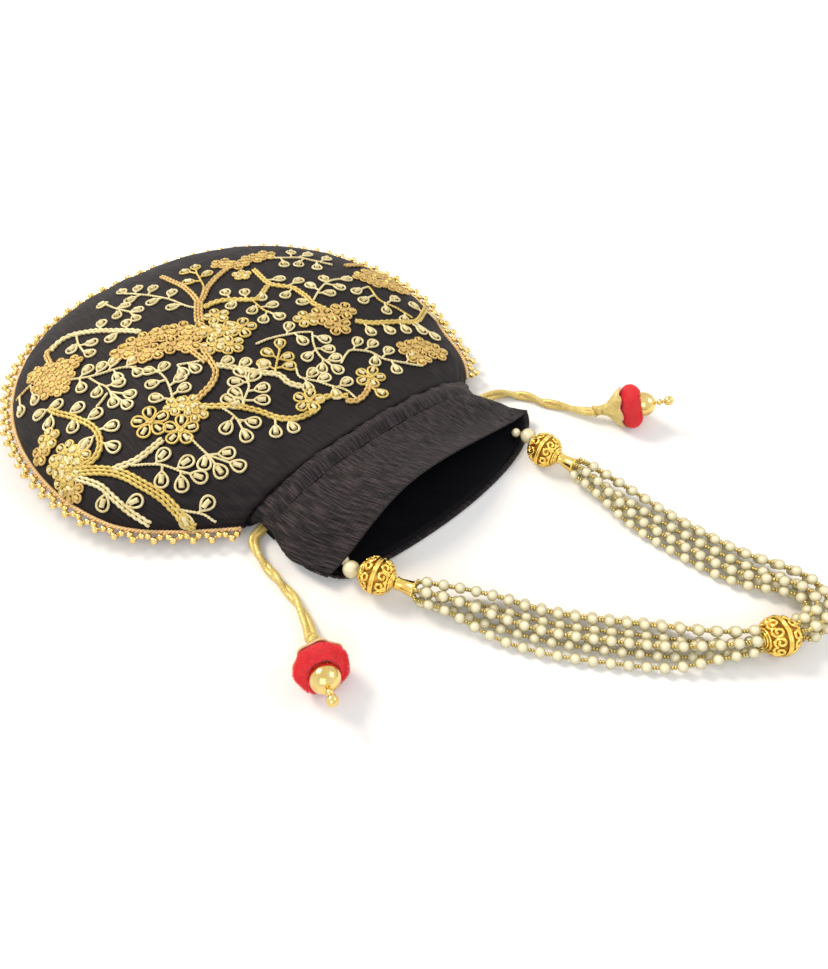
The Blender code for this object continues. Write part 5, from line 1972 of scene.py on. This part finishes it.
    def build_end(self, half: HandleHalf) -> None:
        """The stopper, end pearl, ball, cap and gathered threads on one side."""
        side = half.side.value
        pearl, ball, cap, heading = self.places(half)
        stopper = Vector((half.pearl_x + half.hand * self.stopper_in,
                          self.pivot_y + self.stopper_back, self.stopper_z))
        mesh = bmesh.new()
        add_sphere(mesh, stopper, self.stopper, 24, 14, Vector((0.0, -1.0, 0.2)))
        MAKER.piece(f"small_pearl_{side}", mesh, PEARL, "bag",
                    [f"stopper_pearl_{side}"])
        mesh = bmesh.new()
        add_sphere(mesh, pearl, self.end_pearl, 32, 18, ball - pearl)
        MAKER.piece(f"large_pearl_{side}", mesh, PEARL, "handle",
                    [f"end_pearl_{side}"])
        self.build_ball(f"filigree_ball_{side}", f"pierced_ball_{side}", ball, heading)
        self.build_cap(half.side, cap, heading)
        mouth = cap + (self.cap_length - self.cap_mouth) * heading
        self.build_gather(half, "cap", mouth, 0)
        way = half.hand * self.middle_heading.normalized()
        mouth = self.middle_ball - (self.ball - self.ball_mouth) * way
        self.build_gather(half, "ball", mouth, -1)

    def build_gather(self, half: HandleHalf, where: str, mouth: Vector, end: int) -> None:
        """The seed beads that draw the strands together into a cap or a ball.

        Args:
            half: the side of the handle.
            where: the last word of the piece's name.
            mouth: the point that the threads run into.
            end: 0 for the strands' first points, -1 for their last ones.
        """
        line = self.bundle(half)
        threads = []
        for number in range(len(BUNDLE)):
            start = self.strand_route(half, number, line)[end]
            threads.append([mouth.lerp(start, 0.1), mouth.lerp(start, 0.55), start])
        mesh = MAKER.wire_mesh(threads, self.bead_thread, SEED_BEAD, 0)
        for thread in threads:
            way = thread[-1] - thread[0]
            for share in self.gather_shares:
                add_sphere(mesh, thread[0] + share * way, self.seed, 8, 5, way,
                           self.seed_stretch)
        MAKER.piece(f"seed_gather_{half.side.value}_{where}", mesh, SEED_BEAD,
                    "handle")

    def build_cap(self, side: Side, place: Vector, heading: Vector) -> None:
        """The spun cap behind a ball, with a rolled rim at both ends."""
        small = self.cap_small
        large = self.cap_large
        end = self.cap_length
        # From the mouth down the inside, round the small rim and up the outside to the large one
        profile = [(large - 0.0005, end), (large - 0.0005, 0.5 * end), (small - 0.0006, 0.0004),
                   (small - 0.0009, 0.0), (small + 0.0001, 0.0), (small + 0.0003, 0.0005),
                   (small + 0.0001, 0.001), (small - 0.0001, 0.0014),
                   (mix(small, large, 0.35), 0.5 * end), (large - 0.0001, end - 0.0016),
                   (large + 0.0001, end - 0.0012), (large + 0.0003, end - 0.0006),
                   (large + 0.0001, end)]
        mesh = bmesh.new()
        lathe(mesh, profile, 40, facing(place, heading))
        MAKER.piece(f"spun_cap_{side.value}", mesh, CAP_METAL, "handle",
                    [f"bead_cap_{side.value}"])

    def on_ball(self, longitude: float, latitude: float, radius: float) -> Vector:
        """A point on a ball about Z."""
        return Vector((radius * math.cos(latitude) * math.cos(longitude),
                       radius * math.cos(latitude) * math.sin(longitude),
                       radius * math.sin(latitude)))

    def scrolls(self, radius: float) -> list[Route]:
        """The scroll wires of a ball: pairs of spirals, staggered on its two halves."""
        routes = []
        for half in (-1.0, 1.0):
            stagger = 0.25 if half > 0.0 else 0.0
            for number in range(self.scroll_pairs):
                middle = FULL_TURN * (number + stagger) / self.scroll_pairs
                for hand in (-1.0, 1.0):
                    centre = middle + hand * self.scroll_aside
                    routes.append(self.scroll(centre, half, hand, radius))
        return routes

    def scroll(self, centre: float, half: float, hand: float, radius: float) -> Route:
        """One spiral wire about a longitude on one half of a ball."""
        route = []
        for step in range(self.scroll_points):
            reach = self.scroll_reach * (1.0 - self.scroll_shrink * step)
            angle = hand * (self.scroll_turn * step - self.scroll_lean)
            aside = self.scroll_narrow * reach * math.sin(angle) / math.cos(0.52)
            latitude = half * (self.scroll_latitude + reach * math.cos(angle))
            route.append(self.on_ball(centre + aside, latitude, radius))
        return route

    def ring(self, latitude: float, radius: float, steps: int) -> Route:
        """A ring wire round a ball."""
        return [self.on_ball(FULL_TURN * step / steps, latitude, radius)
                for step in range(steps + 1)]

    def build_ball(self, name: str, node: str, place: Vector, heading: Vector) -> None:
        """A ball of scroll wire over a core painted dark for the shade in its hollow, with bands
        at its middle and its bores.
        """
        radius = self.ball - self.wire_sunk * self.wire
        matrix = facing(place, heading)
        routes = self.scrolls(radius)
        routes += [self.ring(latitude, radius, 48) for latitude in self.waist_rings]
        routes += [self.ring(latitude, radius, 24) for latitude in self.bore_rings]
        mesh = MAKER.wire_mesh(routes, self.wire, FILIGREE, 1)
        for half in (-1.0, 1.0):
            for number in range(self.grains):
                longitude = FULL_TURN * (number + 0.5) / self.grains
                spot = self.on_ball(longitude, half * self.grain_latitude, radius)
                add_sphere(mesh, spot, self.grain, 10, 7)
        bmesh.ops.transform(mesh, matrix=matrix, verts=mesh.verts)
        MAKER.piece(name, mesh, FILIGREE, "handle", [node])
        # A darker core under the wires: painted shade inside the pierced ball
        core = bmesh.new()
        inside = self.ball - self.core_depth
        edge = math.acos(self.bore / inside)
        lathe(core, arc(inside, edge, -edge, 20), 36, matrix)
        MAKER.piece(f"{name}_inside", core, FILIGREE_SHADED_CORE, "handle")


# Drawstrings and tassels

@dataclass
class Drawstring:
    """One doubled drawstring with its knot, braid cone, wool pompom and gold beads."""

    side: Side
    corners: Route
    knot: Vector
    heading: Vector
    lane: float
    string_radius: float = 0.0010
    satin_radius: float = 0.0014
    spacing: float = 0.0028
    lane_width: float = 0.0024
    string_z: float = 0.0028
    hidden: float = 0.108
    rise: float = 0.0022
    cord_lift: float = 0.0001
    knot_radius: float = 0.0027
    cone_length: float = 0.0090
    cone_small: float = 0.0027
    cone_large: float = 0.0090
    pompom_radius: float = 0.0105
    pompom_thickness: float = 0.0090
    ball_radius: float = 0.0060
    ball_offset: float = 0.0056
    neck_bead: float = 0.0015
    tip_bead: float = 0.0024
    gap: float = 0.0003
    crossings: int = 3
    # The knot's loops and the wrapping of 4.5 turns behind it
    knot_thread: float = 0.0009
    wrap_thread: float = 0.00055
    wrap_reach: float = 0.0019
    wrap_length: float = 0.0024
    # The cone's braid, its seven scallops and the peach cord along them
    braid_wall: float = 0.0006
    braid_grain: float = 0.00018
    scallops: float = 7.0
    scallop_depth: float = 0.0009
    scallop_share: float = 0.6
    rim_thread: float = 0.00036
    rim_orbit: float = 0.00028
    rim_pitch: float = 0.0016
    # The pompom's core lies 1 mm inside it, and its fibres are 1 to 1.8 mm long
    wool_depth: float = 0.0010
    wool_dip: float = 0.0006
    lobes: int = 7
    lobe_depth: float = 0.0003
    fibres: int = 2800
    fibre_length: float = 0.0014
    fibre_change: float = 0.0004
    fibre_radii: tuple[float, float, float] = (0.00013, 0.00011, 0.00006)
    # Fibres follow each other round by the golden angle, which leaves no rows
    golden_angle: float = 2.399963

    @property
    def body(self) -> str:
        """The body that this drawstring moves with."""
        return f"drawstring_{self.side.value}"

    def string_points(self, strand: int) -> Route:
        """The points that one of the two strings follows, as in the CAD."""
        middle = Vector((FORM.neck_shift, FORM.neck_y - 0.5 * (FORM.casing_width + FORM.gap), 0.0))
        along = Vector((1.0, FORM.neck_tilt, 0.0)).normalized()
        outward = -along if self.side is Side.LEFT else along
        sideways = Vector((-along.y, along.x, 0.0))
        lane = self.lane * self.lane_width * (0.5 if strand == 1 else 1.5)
        leave = middle + outward * FORM.casing_half + sideways * lane
        inner = leave - outward * self.hidden
        points = [Vector((inner.x, inner.y, self.string_z)),
                  Vector((leave.x, leave.y, self.string_z))]
        heading = self.heading.normalized()
        hand = 1.0 if strand == 1 else -1.0
        for index, point in enumerate(self.corners):
            ahead = (self.corners[min(index + 1, len(self.corners) - 1)]
                     - self.corners[max(index - 1, 0)])
            across = Vector((-ahead.y, ahead.x, 0.0)).normalized()
            place = point + across * hand * 0.5 * self.spacing
            place.z = mix(self.string_z, self.string_radius + self.cord_lift,
                          smooth((index + 1) / 3.0))
            if index == len(self.corners) - 1:
                place.z = self.rise
            points.append(place)
        across = Vector((-heading.y, heading.x, 0.0)).normalized()
        end = self.knot - heading * (self.knot_radius + self.string_radius * 0.5)
        points.append(end + across * hand * 0.5 * self.spacing)
        return points

    def build(self) -> None:
        """Makes the tassel and then the strings that carry it."""
        carried = self.build_tassel()
        lines = [self.string_points(strand) for strand in (1, 2)]
        wound = self.wind(smooth_route(lines[0][1:], 0.0012), smooth_route(lines[1][1:], 0.0012))
        for strand in (1, 2):
            route = resample(lines[strand - 1][:2], 0.004)[:-1] + wound[strand - 1]
            curve = MAKER.wires(f"satin_string_{self.side.value}_{strand}", [route],
                                self.satin_radius, CORD_ZARI, 3)
            obj = MAKER.settle(curve, self.body,
                               [f"drawstring_{self.side.value}_{strand}"])

    def wind(self, first: Route, second: Route) -> tuple[Route, Route]:
        """Winds the two strings loosely over each other on the table, up to the knot."""
        wound: tuple[Route, Route] = ([], [])
        count = max(len(first), len(second))
        run = resample(first, route_length(first) / count)
        twin = resample(second, route_length(second) / count)
        for index in range(count + 1):
            middle = run[index].lerp(twin[index], 0.5)
            side = (run[index] - middle).normalized()
            share = index / count
            turn = math.pi * self.crossings * smooth(share)
            near = mix((run[index] - middle).length, 1.05 * self.string_radius,
                       smooth(4.0 * share) * smooth(8.0 * (1.0 - share) + 0.3))
            for route, hand in zip(wound, (1.0, -1.0)):
                lift = abs(math.sin(turn)) + hand * math.sin(turn)
                route.append(middle + side * (hand * near * math.cos(turn))
                             + Vector((0.0, 0.0, near * lift)))
        for route in wound:
            route.append(self.knot - self.heading.normalized() * 0.0008)
        return wound

    def build_tassel(self) -> list[Object]:
        """The pieces of the tassel along its axis, from the knot to the tip."""
        heading = self.heading.normalized()
        cone = self.knot + heading * (self.knot_radius + self.gap)
        pompom = cone + heading * (self.cone_length + self.gap + 0.5 * self.pompom_thickness)
        ball = pompom + heading * self.ball_offset
        neck = ball + heading * (self.ball_radius + self.neck_bead + self.gap)
        tip = neck + heading * (self.neck_bead + self.tip_bead + self.gap)
        return [self.build_knot(heading), self.build_cone(cone, heading),
                self.build_pompom(pompom, heading),
                self.build_bead("tassel_ball", ball, self.ball_radius, heading, 36, 22),
                self.build_bead("neck_bead", neck, self.neck_bead, heading, 20, 12),
                self.build_bead("tip_bead", tip, self.tip_bead, heading, 24, 14)]

    def build_knot(self, heading: Vector) -> Object:
        """An overhand knot in the cord over a tightly wrapped neck."""
        loops = []
        for step in range(61):
            turn = FULL_TURN * step / 60
            reach = 0.0011 * (1.25 + 0.75 * math.cos(3.0 * turn))
            loops.append(Vector((reach * math.cos(2.0 * turn), reach * math.sin(2.0 * turn),
                                 0.0008 * math.sin(3.0 * turn) - 0.0009)))
        wraps = []
        for step in range(73):
            turn = FULL_TURN * step / 16
            wraps.append(Vector((self.wrap_reach * math.cos(turn),
                                 self.wrap_reach * math.sin(turn),
                                 0.0004 + self.wrap_length * step / 72)))
        mesh = MAKER.wire_mesh([loops, wraps], 0.0008, CORD_ZARI, 2,
                               [[self.knot_thread] * len(loops),
                                [self.wrap_thread] * len(wraps)])
        lathe(mesh, [(0.0, -0.0018), (0.0014, -0.001), (0.0018, 0.0), (0.0018, 0.0029),
                     (0.0, 0.0029)], 16, Matrix.Identity(4))
        bmesh.ops.transform(mesh, matrix=facing(self.knot, heading), verts=mesh.verts)
        return MAKER.piece(f"wrapped_knot_{self.side.value}", mesh, CORD_ZARI,
                           self.body, [f"string_knot_{self.side.value}"])

    def scallop(self, turn: float, share: float) -> float:
        """How far the cone's edge waves out and in at a turn."""
        return self.scallop_depth * smooth(share) * math.cos(self.scallops * turn)

    def build_cone(self, place: Vector, heading: Vector) -> Object:
        """A cone of gathered gold braid with a scalloped peach rim."""
        wall = self.braid_wall
        length = self.cone_length
        outer = [(mix(self.cone_small, self.cone_large, smooth(share) ** 1.2), share * length)
                 for share in (1.0, 0.9, 0.75, 0.6, 0.45, 0.3, 0.15, 0.0)]
        inner = [(max(0.0008, radius - wall), max(wall, height))
                 for radius, height in reversed(outer)]
        mesh = bmesh.new()
        lathe(mesh, outer + [(0.0008, 0.0)] + inner, 84, Matrix.Identity(4))
        for vert in mesh.verts:
            reach = math.hypot(vert.co.x, vert.co.y)
            share = vert.co.z / length
            if reach > 0.001:
                turn = math.atan2(vert.co.y, vert.co.x)
                grain = self.braid_grain * math.cos(3.0 * self.scallops * turn) * share
                wave = self.scallop(turn, share) + grain
                vert.co.x *= (reach + wave) / reach
                vert.co.y *= (reach + wave) / reach
                vert.co.z += self.scallop_share * self.scallop(turn, share) * share
        rim = []
        for step in range(141):
            turn = FULL_TURN * step / 140
            reach = self.cone_large + self.scallop(turn, 1.0)
            rim.append(Vector((reach * math.cos(turn), reach * math.sin(turn),
                               length + self.scallop_share * self.scallop(turn, 1.0))))
        cord = CORDS.plies(rim, 2, self.rim_orbit, self.rim_pitch)
        MAKER.join(mesh, MAKER.wire_mesh(cord, self.rim_thread, PEACH_ZARI, 0), 1)
        bmesh.ops.transform(mesh, matrix=facing(place, heading), verts=mesh.verts)
        obj = MAKER.piece(f"braid_cone_{self.side.value}", mesh, CONE_ZARI,
                          self.body, [f"tassel_cone_{self.side.value}"])
        obj.data.materials.append(PEACH_ZARI.material())
        return obj

    def build_pompom(self, place: Vector, heading: Vector) -> Object:
        """A disc of wool with fibres standing out all over it."""
        half = 0.5 * self.pompom_thickness
        seat = self.ball_radius + self.gap
        core = self.pompom_radius - self.wool_depth
        ring = core - half
        tall = half - self.wool_dip
        profile = [(0.0, -half + 0.001), (ring, -half + self.wool_dip)]
        profile += [(ring + half * math.cos(angle), tall * math.sin(angle))
                    for angle in (-1.2, -0.8, -0.4, 0.0, 0.4, 0.8, 1.2)]
        profile += [(seat + 0.0002, half - 0.0008), (0.6 * seat, 0.0006), (0.0, 0.0)]
        mesh = bmesh.new()
        lathe(mesh, profile, 48, Matrix.Identity(4))
        bmesh.ops.subdivide_edges(mesh, edges=mesh.edges, cuts=1, use_grid_fill=True)
        for vert in mesh.verts:
            vert.co += vert.normal * 0.0005 * ripple(vert.co.x * 900.0, vert.co.y * 900.0,
                                                     vert.co.z * 900.0)
        tufts = []
        radii = []
        for index in range(self.fibres):
            turn = self.golden_angle * index
            latitude = math.asin(mix(-0.98, 0.98, (index + 0.5) / self.fibres))
            out = Vector((math.cos(turn), math.sin(turn), 0.0))
            way = out * math.cos(latitude) + Vector((0.0, 0.0, math.sin(latitude)))
            root = out * (ring + half * math.cos(latitude) * 0.95)
            root.z = tall * math.sin(latitude) * 0.95
            lean = Vector([ripple(index * 0.37, seed, seed) for seed in (1.0, 2.0, 3.0)])
            length = self.fibre_length + self.fibre_change * ripple(index * 0.71, 5.0, 5.0)
            middle = root + (way + 0.7 * lean) * 0.55 * length
            tufts.append([root, middle, middle + (way - 0.4 * lean) * 0.5 * length])
            radii.append(self.fibre_radii)
        MAKER.join(mesh, MAKER.wire_mesh(tufts, 0.00012, WOOL, 0, radii))
        for vert in mesh.verts:
            reach = math.hypot(vert.co.x, vert.co.y)
            wave = self.lobe_depth * math.cos(self.lobes * math.atan2(vert.co.y, vert.co.x))
            grown = 1.0 + wave * smooth(reach / core - 0.3) / max(reach, 0.001)
            vert.co.x *= grown
            vert.co.y *= grown
        bmesh.ops.transform(mesh, matrix=facing(place, heading), verts=mesh.verts)
        return MAKER.piece(f"wool_pompom_{self.side.value}", mesh, WOOL, self.body,
                           [f"pompom_{self.side.value}"])

    def build_bead(self, kind: str, place: Vector, radius: float, heading: Vector,
                   columns: int, rows: int) -> Object:
        """One plated bead of the tassel."""
        pin = [place - heading * (radius + self.gap), place]
        mesh = MAKER.wire_mesh([pin], 0.0007, PLATED_BEAD, 1)
        add_sphere(mesh, place, radius, columns, rows, heading)
        return MAKER.piece(f"plated_{kind}_{self.side.value}", mesh, PLATED_BEAD,
                           self.body, [f"{kind}_{self.side.value}"])


def drawstrings() -> list[Drawstring]:
    """The two drawstrings, with the routes of the CAD."""
    left = [Vector(place) for place in (
        (-0.0591, -0.0870, 0.0), (-0.0618, -0.0915, 0.0), (-0.0635, -0.1000, 0.0),
        (-0.0645, -0.1100, 0.0), (-0.0655, -0.1230, 0.0), (-0.0688, -0.1350, 0.0))]
    right = [Vector(place) for place in (
        (0.0810, -0.0960, 0.0), (0.0880, -0.0985, 0.0), (0.0945, -0.1040, 0.0),
        (0.0985, -0.1130, 0.0), (0.1020, -0.1225, 0.0), (0.1065, -0.1330, 0.0))]
    return [Drawstring(Side.LEFT, left, Vector((-0.0735, -0.1450, 0.0050)),
                       Vector((-0.40, -0.86, 0.32)), 1.0),
            Drawstring(Side.RIGHT, right, Vector((0.1110, -0.1425, 0.0050)),
                       Vector((0.62, -0.78, 0.32)), -1.0)]


def main() -> None:
    """Builds every sub-assembly in order."""
    logging.basicConfig(level=logging.INFO, format="%(name)s: %(message)s")
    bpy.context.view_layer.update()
    bpy.context.scene.view_settings.view_transform = "Standard"
    CAMERA.build()
    Studio().build()
    PearlHandle().build()
    for drawstring in drawstrings():
        drawstring.build()
    panels = BodyPanels()
    panels.build()
    Neck().build()
    BeadedEdge().build()
    Embroidery(panels.tree()).build()


if __name__ == "__main__":
    main()
